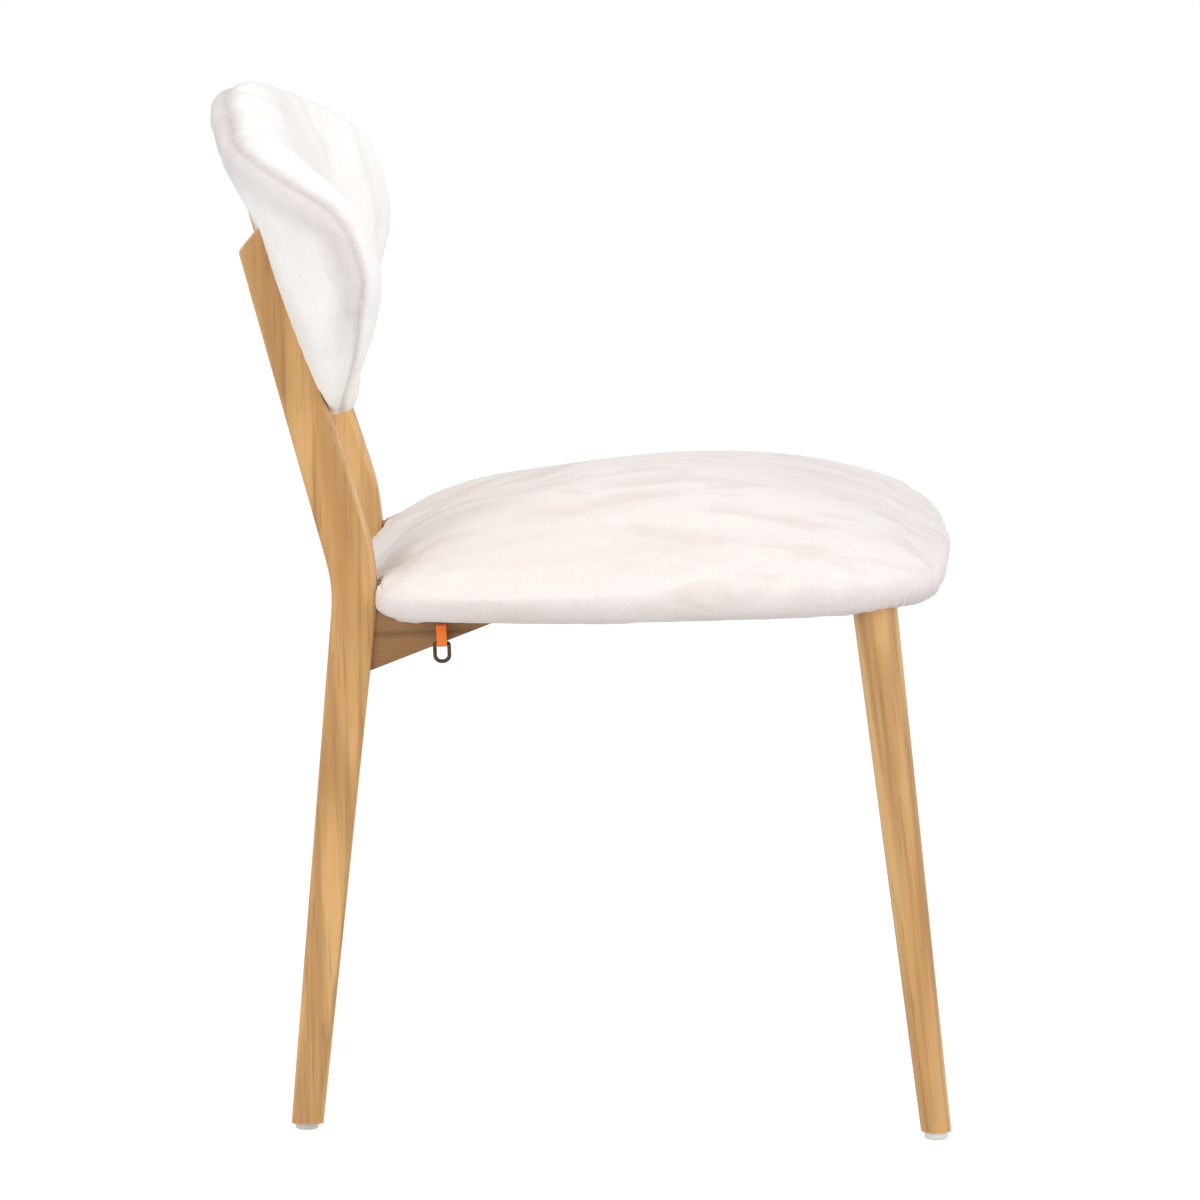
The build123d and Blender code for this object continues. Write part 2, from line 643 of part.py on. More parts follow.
    # Seat board, foam, cover and dust cover
    board = extrude(seat_outline(-BOARD_INSET), BOARD_THICKNESS)
    board = SEAT * Pos(0, 0, RAIL_HEIGHT) * board
    cavity = SEAT * Pos(0, 0, -SEAT_EQUATOR) * extrude(frame_outline(SOFT_GAP), SEAT_EQUATOR + RAIL_HEIGHT)
    rail_room = both_sides(SEAT * side_rail_blank(SOFT_GAP))
    leg_room = both_sides(front_leg_blank(SOFT_GAP))
    seat_inside = SEAT * seat_form(0)
    seat_skin = SEAT * seat_form(COVER_THICKNESS) - seat_inside
    mouth = SEAT * Pos(0, 0, -SEAT_EQUATOR) * extrude(frame_outline(-HEM_LAP), SEAT_EQUATOR + 1)
    dust = SEAT * Pos(0, 0, -COVER_THICKNESS - DUST_THICKNESS) * extrude(frame_outline(-DUST_INSET), DUST_THICKNESS)
    save(cut_all(board, board_holes + [mirrored(hole) for hole in board_holes]), "seat_board")
    save(cut_all(seat_inside - board - cavity, rail_room + leg_room), "seat_foam")
    save(cut_all(seat_skin - mouth, rail_room + leg_room), "seat_cover")
    save(cut_all(dust, rail_room + leg_room), "seat_dust_cover")

    save(STRAP * hang_strap(), "hang_strap")
    save(STRAP * hang_ring(), "hang_ring")


main()
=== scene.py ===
"""Looks of an upholstered dining chair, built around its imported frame.

Every length is in metres. +X is the sitter's left, +Y the back of the chair and +Z up.
"""

from __future__ import annotations

import json
import logging
import math
from dataclasses import dataclass, field
from enum import Enum
from typing import Iterable, Sequence

import bmesh
import bpy
import numpy as np
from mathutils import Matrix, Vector
from mathutils.bvhtree import BVHTree

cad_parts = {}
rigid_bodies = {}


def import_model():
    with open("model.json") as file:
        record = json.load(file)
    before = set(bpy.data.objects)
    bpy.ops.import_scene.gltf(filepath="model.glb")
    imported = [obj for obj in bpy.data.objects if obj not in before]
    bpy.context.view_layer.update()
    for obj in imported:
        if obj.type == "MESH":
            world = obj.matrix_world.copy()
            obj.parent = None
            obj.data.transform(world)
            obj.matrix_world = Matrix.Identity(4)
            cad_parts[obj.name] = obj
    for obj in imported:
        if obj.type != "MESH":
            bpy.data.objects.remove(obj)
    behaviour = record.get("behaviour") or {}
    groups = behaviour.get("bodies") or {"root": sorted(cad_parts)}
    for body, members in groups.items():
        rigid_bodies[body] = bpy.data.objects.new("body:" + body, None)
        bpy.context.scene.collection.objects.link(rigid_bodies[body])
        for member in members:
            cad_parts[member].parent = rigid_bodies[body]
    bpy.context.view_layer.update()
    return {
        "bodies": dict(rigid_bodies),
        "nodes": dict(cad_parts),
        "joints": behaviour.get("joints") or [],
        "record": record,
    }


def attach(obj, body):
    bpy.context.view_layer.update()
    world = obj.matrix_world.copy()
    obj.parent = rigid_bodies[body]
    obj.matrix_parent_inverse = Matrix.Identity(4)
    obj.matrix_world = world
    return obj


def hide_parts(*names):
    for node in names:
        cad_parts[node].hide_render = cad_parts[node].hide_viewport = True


LOG = logging.getLogger("chair")
CHAIR_BODY = "chair"
REAR_LEGS = ("rear_leg_left", "rear_leg_right")
COVER_CLEARANCE = 0.0004
TINY = 1e-9
MM_PER_METRE = 1000
CORNERS = ("front_left", "front_right", "rear_left", "rear_right")
WHITE = (1, 1, 1, 1)

Colour = tuple[int, int, int]
Span = tuple[float, float]
Triple = tuple[float, float, float]
Socket = bpy.types.NodeSocket
Piece = bpy.types.Object
Material = bpy.types.Material
Mesh = bpy.types.Mesh


def srgb(red: int, green: int, blue: int) -> tuple[float, float, float, float]:
    """Turn an 8-bit display colour into a linear one.

    Args:
        red, green, blue: Display values from 0 to 255.

    Returns:
        The linear colour with full alpha.
    """
    linear = []
    for value in (red, green, blue):
        share = value / 255
        linear.append(share / 12.92 if share <= 0.04045 else ((share + 0.055) / 1.055) ** 2.4)
    return (*linear, 1.0)


def ease(low: float, high: float, values: np.ndarray) -> np.ndarray:
    """Rise smoothly from 0 at low to 1 at high.

    Args:
        low, high: Where the rise starts and ends.
        values: The numbers to map.

    Returns:
        The mapped numbers.
    """
    share = np.clip((values - low) / (high - low), 0.0, 1.0)
    return share * share * (3 - 2 * share)


def bell(values: np.ndarray, width: float) -> np.ndarray:
    """A smooth bump of height 1 where the values are near 0."""
    return np.exp(-((values / width) ** 2))


def linked(name: str, data: bpy.types.ID) -> Piece:
    """Put a new object in the scene.

    Args:
        name: The object's name.
        data: Its mesh, lamp or camera.

    Returns:
        The object.
    """
    item = bpy.data.objects.new(name, data)
    bpy.context.scene.collection.objects.link(item)
    return item


def paint(piece: Piece, material: Material) -> None:
    """Leave one material on a piece."""
    piece.data.materials.clear()
    piece.data.materials.append(material)


class NodeGraph:
    """A node tree under construction."""

    def __init__(self, tree: bpy.types.NodeTree) -> None:
        """Empty the tree and build in it."""
        self.tree = tree
        tree.nodes.clear()

    def feed(self, node: bpy.types.Node, inputs: dict[str | int, object]) -> None:
        """Link a node's inputs to sockets, or set their plain values.

        Args:
            node: The node.
            inputs: A socket or a plain value for each input's name or number.
        """
        for key, value in inputs.items():
            if isinstance(value, Socket):
                self.tree.links.new(value, node.inputs[key])
            else:
                node.inputs[key].default_value = value

    def add(self, kind: str, inputs: dict[str | int, object], **options: str) -> bpy.types.Node:
        """Add a node with its options and inputs.

        Args:
            kind: Blender's name for the type of node.
            inputs: What to feed it.
            options: Its other settings.

        Returns:
            The node.
        """
        node = self.tree.nodes.new(kind)
        for option, setting in options.items():
            setattr(node, option, setting)
        self.feed(node, inputs)
        return node


class ShaderGraph(NodeGraph):
    """A node material under construction, with one Principled shader."""

    MIX_FIRST = 6
    MIX_SECOND = 7
    MIX_RESULT = 2
    BAND_DETAIL = 1.5

    def __init__(self, name: str, roughness: float, bump_distance: float) -> None:
        """Start an empty material.

        Args:
            name: The material's name.
            roughness: The shader's plain roughness.
            bump_distance: Height of the bump in metres.
        """
        self.material = bpy.data.materials.new(name)
        self.material.use_nodes = True
        super().__init__(self.material.node_tree)
        self.shader = self.add("ShaderNodeBsdfPrincipled", {"Roughness": roughness})
        self.add("ShaderNodeOutputMaterial", {"Surface": self.shader.outputs["BSDF"]})
        self.bump_distance = bump_distance
        self.place = self.add("ShaderNodeTexCoord", {}).outputs["Object"]

    def turned(self, turn: Sequence[float], stretch: Sequence[float]) -> Socket:
        """Object coordinates, turned and then stretched.

        Args:
            turn: Turn about X, Y and Z in radians.
            stretch: Scale along X, Y and Z after the turn.

        Returns:
            The mapped coordinates.
        """
        turner = self.add("ShaderNodeMapping", {"Vector": self.place, "Rotation": turn})
        stretcher = self.add("ShaderNodeMapping", {"Vector": turner.outputs["Vector"], "Scale": stretch})
        return stretcher.outputs["Vector"]

    def noise(self, vector: Socket, scale: float, detail: float, warp: float = 0.0) -> Socket:
        """Cloudy noise from 0 to 1, with scale in features per metre."""
        inputs = {"Vector": vector, "Scale": scale, "Detail": detail, "Distortion": warp}
        return self.add("ShaderNodeTexNoise", inputs).outputs["Fac"]

    def bands(self, vector: Socket, axis: str, scale: float, warp: float = 0.0) -> Socket:
        """Straight soft bands from 0 to 1 across the axis X, Y or Z."""
        inputs = {"Vector": vector, "Scale": scale, "Distortion": warp, "Detail Scale": self.BAND_DETAIL}
        return self.add("ShaderNodeTexWave", inputs, bands_direction=axis).outputs["Fac"]

    def cells(self, vector: Socket, scale: float) -> Socket:
        """Distance to the nearest cell centre, with scale in cells per metre."""
        return self.add("ShaderNodeTexVoronoi", {"Vector": vector, "Scale": scale}).outputs["Distance"]

    def attribute(self, name: str) -> Socket:
        """A float stored on the mesh's points."""
        return self.add("ShaderNodeAttribute", {}, attribute_name=name).outputs["Fac"]

    def rise(self, value: Socket, span: Span, most: float = 1.0) -> Socket:
        """Rise smoothly from 0 at the span's start to most at its end, clamped."""
        inputs = {"Value": value, "From Min": span[0], "From Max": span[1], "To Max": most}
        return self.add("ShaderNodeMapRange", inputs, interpolation_type="SMOOTHSTEP").outputs["Result"]

    def weighted(self, first: Socket, first_share: float, second: Socket, second_share: float) -> Socket:
        """Add two values, each times its share.

        Args:
            first, second: The values.
            first_share, second_share: How much each counts.

        Returns:
            The sum.
        """
        part = self.add("ShaderNodeMath", {0: second, 1: second_share}, operation="MULTIPLY")
        inputs = {0: first, 1: first_share, 2: part.outputs["Value"]}
        return self.add("ShaderNodeMath", inputs, operation="MULTIPLY_ADD").outputs["Value"]

    def layered(self, base: Colour, layers: Sequence[tuple[Socket, Colour]]) -> Socket:
        """Lay colours over a base, each by its share.

        Args:
            base: The lowest colour.
            layers: Each layer's share and colour, from the lowest up.

        Returns:
            The mixed colour.
        """
        mixed = srgb(*base)
        for share, colour in layers:
            inputs = {0: share, self.MIX_FIRST: mixed, self.MIX_SECOND: srgb(*colour)}
            mixed = self.add("ShaderNodeMix", inputs, data_type="RGBA").outputs[self.MIX_RESULT]
        return mixed

    def done(
        self, colour: Socket, height: Socket, strength: float, roughness: Socket | None = None
    ) -> Material:
        """Join the finished patterns to the shader.

        Args:
            colour: Base colour.
            height: Bump height.
            strength: Bump strength.
            roughness: Roughness pattern, if it varies.

        Returns:
            The material.
        """
        inputs = {"Strength": strength, "Distance": self.bump_distance, "Height": height}
        bump = self.add("ShaderNodeBump", inputs)
        self.feed(self.shader, {"Base Color": colour, "Normal": bump.outputs["Normal"]})
        if roughness is not None:
            self.feed(self.shader, {"Roughness": roughness})
        return self.material


@dataclass(frozen=True)
class OakFinish:
    """Oiled oak with its grain along one direction."""

    light: Colour = (224, 178, 116)
    middle: Colour = (196, 146, 86)
    dark: Colour = (150, 103, 57)
    pore: Colour = (112, 74, 40)
    roughness: float = 0.46
    gloss_range: Span = (-0.9, 2.1)
    bump: float = 0.35
    bump_height: float = 0.0002
    cloud_per_metre: float = 22.0
    cloud_stretch: float = 0.16
    cloud_range: Span = (0.3, 0.72)
    ring_scale: float = 26.0
    ring_stretch: Triple = (1, 0.55, 0.09)
    ring_range: Span = (0.45, 1.0)
    ring_share: float = 0.4
    streak_per_metre: float = 150.0
    streak_stretch: float = 0.022
    streak_range: Span = (0.47, 0.74)
    streak_share: float = 0.56
    streak_height: float = 0.6
    pore_per_metre: float = 620.0
    pore_stretch: float = 0.035
    pore_range: Span = (0.6, 0.7)
    pore_share: float = 0.3
    pore_height: float = -0.8

    def material(self, name: str, grain: Vector) -> Material:
        """Make the material for one piece.

        Args:
            name: The material's name.
            grain: Direction of the grain.

        Returns:
            The material.
        """
        graph = ShaderGraph(name, self.roughness, self.bump_height)
        turn = grain.rotation_difference(Vector((0, 0, 1))).to_euler()
        board = graph.turned(turn, (1, 1, self.cloud_stretch))
        fibre = graph.turned(turn, (1, 1, self.streak_stretch))
        pore_place = graph.turned(turn, (1, 1, self.pore_stretch))
        clouds = graph.noise(board, self.cloud_per_metre, detail=3.0, warp=0.6)
        streaks = graph.noise(fibre, self.streak_per_metre, detail=4.0, warp=0.3)
        pores = graph.noise(pore_place, self.pore_per_metre, detail=2.0)
        rings = graph.bands(graph.turned(turn, self.ring_stretch), "X", self.ring_scale, warp=5.5)
        layers = (
            (graph.rise(clouds, self.cloud_range), self.light),
            (graph.rise(rings, self.ring_range, self.ring_share), self.dark),
            (graph.rise(streaks, self.streak_range, self.streak_share), self.dark),
            (graph.rise(pores, self.pore_range, self.pore_share), self.pore),
        )
        sunk = graph.rise(pores, self.pore_range)
        height = graph.weighted(streaks, self.streak_height, sunk, self.pore_height)
        gloss = graph.rise(streaks, self.gloss_range)
        return graph.done(graph.layered(self.middle, layers), height, self.bump, gloss)


class PileLay(Enum):
    """Which way the plush's brushed smudges run."""

    ALONG_SEAT = (1.0, 0.34, 1.0)
    UP_THE_BACK = (1.0, 0.8, 0.38)


@dataclass(frozen=True)
class PlushFinish:
    """Short cream pile with brushed smudges, darkened with painted shade where the cushion's 'shade'
    attribute says, as in its seams and creases.
    """

    cream: Colour = (239, 232, 228)
    smudge: Colour = (221, 210, 207)
    shade: Colour = (184, 170, 168)
    roughness: float = 0.93
    sheen: float = 0.25
    sheen_roughness: float = 0.45
    specular: float = 0.15
    bump: float = 0.35
    bump_height: float = 0.0012
    smudge_per_metre: float = 30.0
    smudge_range: Span = (0.42, 0.74)
    smudge_share: float = 0.65
    broad_per_metre: float = 10.0
    broad_range: Span = (0.4, 0.75)
    broad_share: float = 0.5
    tuft_per_metre: float = 260.0
    tuft_range: Span = (0.5, 0.8)
    tuft_share: float = 0.12
    tuft_height: float = 0.7
    pile_per_metre: float = 1100.0
    pile_height: float = 0.5

    def material(self, name: str, lay: PileLay) -> Material:
        """Make the plush for one cushion.

        Args:
            name: The material's name.
            lay: Direction of the smudges.

        Returns:
            The material, which reads the point attribute "shade".
        """
        graph = ShaderGraph(name, self.roughness, self.bump_height)
        looks = {
            "Sheen Weight": self.sheen,
            "Sheen Roughness": self.sheen_roughness,
            "Specular IOR Level": self.specular,
        }
        graph.feed(graph.shader, looks)
        brushed = graph.turned((0, 0, 0), lay.value)
        smudges = graph.noise(brushed, self.smudge_per_metre, detail=4.0, warp=0.9)
        broad = graph.noise(brushed, self.broad_per_metre, detail=2.0, warp=0.5)
        tufts = graph.noise(graph.place, self.tuft_per_metre, detail=3.0)
        pile = graph.noise(graph.place, self.pile_per_metre, detail=2.0)
        layers = (
            (graph.rise(smudges, self.smudge_range, self.smudge_share), self.smudge),
            (graph.rise(broad, self.broad_range, self.broad_share), self.smudge),
            (graph.rise(tufts, self.tuft_range, self.tuft_share), self.shade),
            (graph.attribute("shade"), self.shade),
        )
        height = graph.weighted(tufts, self.tuft_height, pile, self.pile_height)
        return graph.done(graph.layered(self.cream, layers), height, self.bump)


@dataclass(frozen=True)
class PlainFinish:
    """A lightly mottled solid finish, for metal, nylon, raw wood and cloth."""

    colour: Colour
    mottle: Colour
    roughness: float
    metallic: float = 0.0
    per_metre: float = 180.0
    stretch: Triple = (1.0, 1.0, 1.0)
    bump: float = 0.15
    bump_height: float = 0.0003
    mottle_range: Span = (0.35, 0.72)
    gloss_slope: float = 2.0
    gloss_reach: float = 3.2

    def material(self, name: str) -> Material:
        """Make the material.

        Args:
            name: The material's name.

        Returns:
            The material.
        """
        graph = ShaderGraph(name, self.roughness, self.bump_height)
        graph.feed(graph.shader, {"Metallic": self.metallic})
        clouds = graph.noise(graph.turned((0, 0, 0), self.stretch), self.per_metre, detail=4.0, warp=0.2)
        colour = graph.layered(self.colour, [(graph.rise(clouds, self.mottle_range), self.mottle)])
        rough_low = -self.roughness * self.gloss_slope
        roughness = graph.rise(clouds, (rough_low, rough_low + self.gloss_reach))
        return graph.done(colour, clouds, self.bump, roughness)


@dataclass(frozen=True)
class WebbingFinish:
    """Woven orange webbing with ribs across its length."""

    bright: Colour = (255, 142, 54)
    deep: Colour = (242, 100, 26)
    roughness: float = 0.82
    sheen: float = 0.2
    bump: float = 0.5
    bump_height: float = 0.0003
    ribs_scale: float = 420.0
    warp_scale: float = 336.0
    rib_share: float = 0.6
    weave_range: Span = (0.15, 0.75)

    def material(self, name: str) -> Material:
        """Make the material.

        Args:
            name: The material's name.

        Returns:
            The material.
        """
        graph = ShaderGraph(name, self.roughness, self.bump_height)
        graph.feed(graph.shader, {"Sheen Weight": self.sheen})
        across = graph.bands(graph.place, "Z", self.ribs_scale)
        along = graph.bands(graph.place, "Y", self.warp_scale)
        weave = graph.weighted(across, self.rib_share, along, 1 - self.rib_share)
        colour = graph.layered(self.deep, [(graph.rise(weave, self.weave_range), self.bright)])
        return graph.done(colour, weave, self.bump)


@dataclass(frozen=True)
class DustClothFinish:
    """Black non-woven cloth with pressed dots."""

    cloth: Colour = (34, 33, 33)
    dot: Colour = (52, 51, 50)
    roughness: float = 0.88
    bump: float = 0.4
    bump_height: float = 0.0002
    dots_per_metre: float = 420.0
    dot_range: Span = (0.25, 0.5)
    fibres_per_metre: float = 1500.0
    fibre_range: Span = (0.5, 0.8)
    fibre_share: float = 0.4

    def material(self, name: str) -> Material:
        """Make the material.

        Args:
            name: The material's name.

        Returns:
            The material.
        """
        graph = ShaderGraph(name, self.roughness, self.bump_height)
        dots = graph.cells(graph.place, self.dots_per_metre)
        fibres = graph.noise(graph.place, self.fibres_per_metre, detail=3.0)
        layers = (
            (graph.rise(dots, self.dot_range), self.cloth),
            (graph.rise(fibres, self.fibre_range, self.fibre_share), self.dot),
        )
        return graph.done(graph.layered(self.dot, layers), dots, self.bump)


@dataclass(frozen=True)
class PlywoodFinish:
    """Raw plywood whose plies show along one direction."""

    face: Colour = (206, 176, 132)
    core: Colour = (158, 122, 82)
    roughness: float = 0.7
    bump: float = 0.2
    bump_height: float = 0.0003
    ply_axis: str = "Z"
    ply_scale: float = 150.0
    ply_range: Span = (0.42, 0.58)
    grain_per_metre: float = 120.0
    grain_stretch: Triple = (1, 0.05, 1)
    grain_range: Span = (0.5, 0.8)
    grain_share: float = 0.4

    def material(self, name: str) -> Material:
        """Make the material.

        Args:
            name: The material's name.

        Returns:
            The material.
        """
        graph = ShaderGraph(name, self.roughness, self.bump_height)
        plies = graph.bands(graph.place, self.ply_axis, self.ply_scale)
        grain = graph.noise(graph.turned((0, 0, 0), self.grain_stretch), self.grain_per_metre, detail=3.0)
        layers = (
            (graph.rise(plies, self.ply_range), self.core),
            (graph.rise(grain, self.grain_range, self.grain_share), self.core),
        )
        return graph.done(graph.layered(self.face, layers), grain, self.bump)


class MeshTools:
    """Small helpers for meshes of pieces and of the frame's nodes."""

    MERGE_DISTANCE = 1e-5

    @staticmethod
    def rows(items: bpy.types.bpy_prop_collection, key: str) -> np.ndarray:
        """Read one vector from each item.

        Args:
            items: The mesh's vertices or normals.
            key: Name of the vector.

        Returns:
            Rows of X, Y and Z.
        """
        flat = np.empty(len(items) * 3, dtype=np.float32)
        items.foreach_get(key, flat)
        return flat.reshape(-1, 3).astype(np.float64)

    @staticmethod
    def points(mesh: Mesh) -> np.ndarray:
        """The vertex places as rows of X, Y and Z."""
        return MeshTools.rows(mesh.vertices, "co")

    @staticmethod
    def normals(mesh: Mesh) -> np.ndarray:
        """The vertex normals as rows of X, Y and Z."""
        return MeshTools.rows(mesh.vertex_normals, "vector")

    @staticmethod
    def edge_ends(mesh: Mesh) -> np.ndarray:
        """Read which vertices the edges join.

        Args:
            mesh: The mesh.

        Returns:
            A row of two vertex numbers for each edge.
        """
        ends = np.empty(len(mesh.edges) * 2, dtype=np.int32)
        mesh.edges.foreach_get("vertices", ends)
        return ends.reshape(-1, 2)

    @staticmethod
    def place(mesh: Mesh, points: np.ndarray) -> None:
        """Move the vertices to new places."""
        mesh.vertices.foreach_set("co", points.astype(np.float32).ravel())
        mesh.update()

    @staticmethod
    def store(mesh: Mesh, name: str, values: np.ndarray) -> None:
        """Keep one float for each vertex as a named attribute."""
        layer = mesh.attributes.new(name, "FLOAT", "POINT")
        layer.data.foreach_set("value", values.astype(np.float32))

    @staticmethod
    def joined(nodes: Iterable[Piece], name: str) -> Piece:
        """Copy frame nodes into one new object with merged vertices.

        Args:
            nodes: The frame's objects.
            name: Name of the new object.

        Returns:
            The new object, at the origin.
        """
        work = bmesh.new()
        for node in nodes:
            work.from_mesh(node.data)
        bmesh.ops.remove_doubles(work, verts=work.verts, dist=MeshTools.MERGE_DISTANCE)
        mesh = bpy.data.meshes.new(name)
        work.to_mesh(mesh)
        work.free()
        return linked(name, mesh)

    @staticmethod
    def settle(piece: Piece) -> None:
        """Make the piece's modifiers part of its mesh.

        Args:
            piece: The piece, left without modifiers.
        """
        graph = bpy.context.evaluated_depsgraph_get()
        mesh = bpy.data.meshes.new_from_object(piece.evaluated_get(graph), depsgraph=graph)
        piece.modifiers.clear()
        old = piece.data
        piece.data = mesh
        bpy.data.meshes.remove(old)

    @staticmethod
    def tree(node: Piece) -> BVHTree:
        """A search tree over a frame node's faces."""
        return BVHTree.FromPolygons(
            [vertex.co for vertex in node.data.vertices],
            [polygon.vertices for polygon in node.data.polygons],
        )

    @staticmethod
    def distances(tree: BVHTree, points: np.ndarray) -> np.ndarray:
        """Distance from each point to the nearest face of a tree."""
        return np.array([tree.find_nearest(Vector(point))[3] for point in points])

    @staticmethod
    def spread(mesh: Mesh, values: np.ndarray, rounds: int) -> np.ndarray:
        """Even out one number for each vertex with those of its neighbours.

        Args:
            mesh: The mesh.
            values: One number for each vertex.
            rounds: How often to even out.

        Returns:
            The evened numbers.
        """
        ends = MeshTools.edge_ends(mesh)
        first, second = ends.T
        count = np.bincount(ends.ravel(), minlength=len(values))
        for _ in range(rounds):
            total = np.bincount(first, values[second], len(values))
            total += np.bincount(second, values[first], len(values))
            values = (values + total / np.maximum(count, 1)) / 2
        return values

    @staticmethod
    def smooth_faces(mesh: Mesh) -> None:
        """Shade every face smoothly."""
        mesh.polygons.foreach_set("use_smooth", np.ones(len(mesh.polygons), dtype=bool))


@dataclass
class Upholstery:
    """Turns a frame solid into a stuffed cloth form."""

    voxel: float
    smoothing: int
    pressure: float
    most_swell: float
    plain_swell: float
    least_swell: float = 0.001
    slack: float = 0.015
    frames: int = 20
    softening: float = 0.5
    quality: int = 4
    mass: float = 0.3
    stretch_stiffness: float = 18
    shear_stiffness: float = 8
    bending_stiffness: float = 0.6

    def remesh(self, piece: Piece) -> None:
        """Give the piece an even, softly rounded mesh.

        Args:
            piece: The piece.
        """
        even = piece.modifiers.new("even", "REMESH")
        even.mode = "VOXEL"
        even.voxel_size = self.voxel
        soft = piece.modifiers.new("soft", "SMOOTH")
        soft.factor = self.softening
        soft.iterations = self.smoothing
        MeshTools.settle(piece)

    def swell(self, piece: Piece, free: np.ndarray, room: np.ndarray) -> None:
        """Args:
            piece: The remeshed piece.
            free: For each vertex, 1 where the cover may move and 0 where it is held.
            room: How far each vertex can move before it meets the wood.
        """
        start = MeshTools.points(piece.data)
        normals = MeshTools.normals(piece.data)
        most = np.minimum(self.most_swell, room)
        held = piece.vertex_groups.new(name="held")
        for index, share in enumerate(free):
            held.add([index], 1.0 - float(share), "REPLACE")
        cloth = piece.modifiers.new("cloth", "CLOTH")
        cloth.settings.quality = self.quality
        cloth.settings.mass = self.mass
        cloth.settings.tension_stiffness = self.stretch_stiffness
        cloth.settings.compression_stiffness = self.stretch_stiffness
        cloth.settings.shear_stiffness = self.shear_stiffness
        cloth.settings.bending_stiffness = self.bending_stiffness
        cloth.settings.use_pressure = True
        cloth.settings.uniform_pressure_force = self.pressure
        cloth.settings.vertex_group_mass = "held"
        cloth.settings.shrink_min = -self.slack
        cloth.settings.effector_weights.gravity = 0
        cloth.collision_settings.use_collision = False
        cloth.point_cache.frame_start = 1
        cloth.point_cache.frame_end = self.frames
        for frame in range(1, self.frames + 1):
            bpy.context.scene.frame_set(frame)
        MeshTools.settle(piece)
        bpy.context.scene.frame_set(1)
        piece.vertex_groups.clear()
        moved = MeshTools.points(piece.data) - start
        outward = np.sum(moved * normals, axis=1)
        along = moved - outward[:, None] * normals
        length = np.linalg.norm(along, axis=1)
        along *= np.minimum(1.0, most / np.maximum(length, TINY))[:, None]
        kept = np.clip(outward, np.minimum(free * self.least_swell, most), most)
        MeshTools.place(piece.data, start + along + kept[:, None] * normals)
        low, high = MM_PER_METRE * outward.min(), MM_PER_METRE * outward.max()
        LOG.info("%s: cloth moved out by %.1f to %.1f mm", piece.name, low, high)

    @staticmethod
    def room_beside(nodes: dict, points: np.ndarray) -> np.ndarray:
        """How far each point lies from the rear legs, less a hair.

        Args:
            nodes: The frame's objects by name.
            points: Places on the cover.

        Returns:
            The free distance for each point.
        """
        legs = [MeshTools.tree(nodes[name]) for name in REAR_LEGS]
        gap = np.minimum(*[MeshTools.distances(leg, points) for leg in legs])
        return np.maximum(gap - COVER_CLEARANCE, 0.0)

    @staticmethod
    def refine(piece: Piece) -> None:
        """Split every face once, smoothly.

        Args:
            piece: The piece.
        """
        finer = piece.modifiers.new("finer", "SUBSURF")
        finer.levels = 1
        finer.render_levels = 1
        MeshTools.settle(piece)
        MeshTools.smooth_faces(piece.data)


@dataclass(frozen=True)
class Fold:
    """A crease pressed into the seat cover along a line in the seat plane."""

    line: tuple[tuple[float, float], ...]
    depth: float
    width: float
    fade_from: float
    darkness: float
    start_range: Span = (-0.05, 0.12)
    ridge_height: float = 0.4
    ridge_set: float = 2.1
    ridge_width: float = 1.5

    def spread(self, flat: np.ndarray) -> tuple[np.ndarray, np.ndarray]:
        """Signed distance from the fold's line, and how far along it each point lies.

        Args:
            flat: Places in the seat plane.

        Returns:
            The distance across the fold and the share along it from 0 to 1.
        """
        line = np.array(self.line)
        best = np.full(len(flat), np.inf)
        across = np.zeros(len(flat))
        along = np.zeros(len(flat))
        for index in range(len(line) - 1):
            start, step = line[index], line[index + 1] - line[index]
            share = np.clip((flat[:, :2] - start) @ step / (step @ step), 0, 1)
            offset = flat[:, :2] - start - share[:, None] * step
            distance = np.linalg.norm(offset, axis=1)
            side = np.sign(step[0] * offset[:, 1] - step[1] * offset[:, 0])
            nearer = distance < best
            best = np.where(nearer, distance, best)
            across = np.where(nearer, distance * side, across)
            along = np.where(nearer, (index + share) / (len(line) - 1), along)
        return across, along

    def press(self, flat: np.ndarray) -> tuple[np.ndarray, np.ndarray]:
        """How far the fold moves the cover, and how much painted shade darkens its valley.

        Args:
            flat: Places in the seat plane.

        Returns:
            The move along the normals and the share of shade.
        """
        across, along = self.spread(flat)
        fade = ease(*self.start_range, along) * (1 - ease(self.fade_from, 1.0, along))
        valley = fade * bell(across, self.width)
        ridge = fade * bell(across - self.ridge_set * self.width, self.ridge_width * self.width)
        return self.depth * (self.ridge_height * ridge - valley), self.darkness * valley


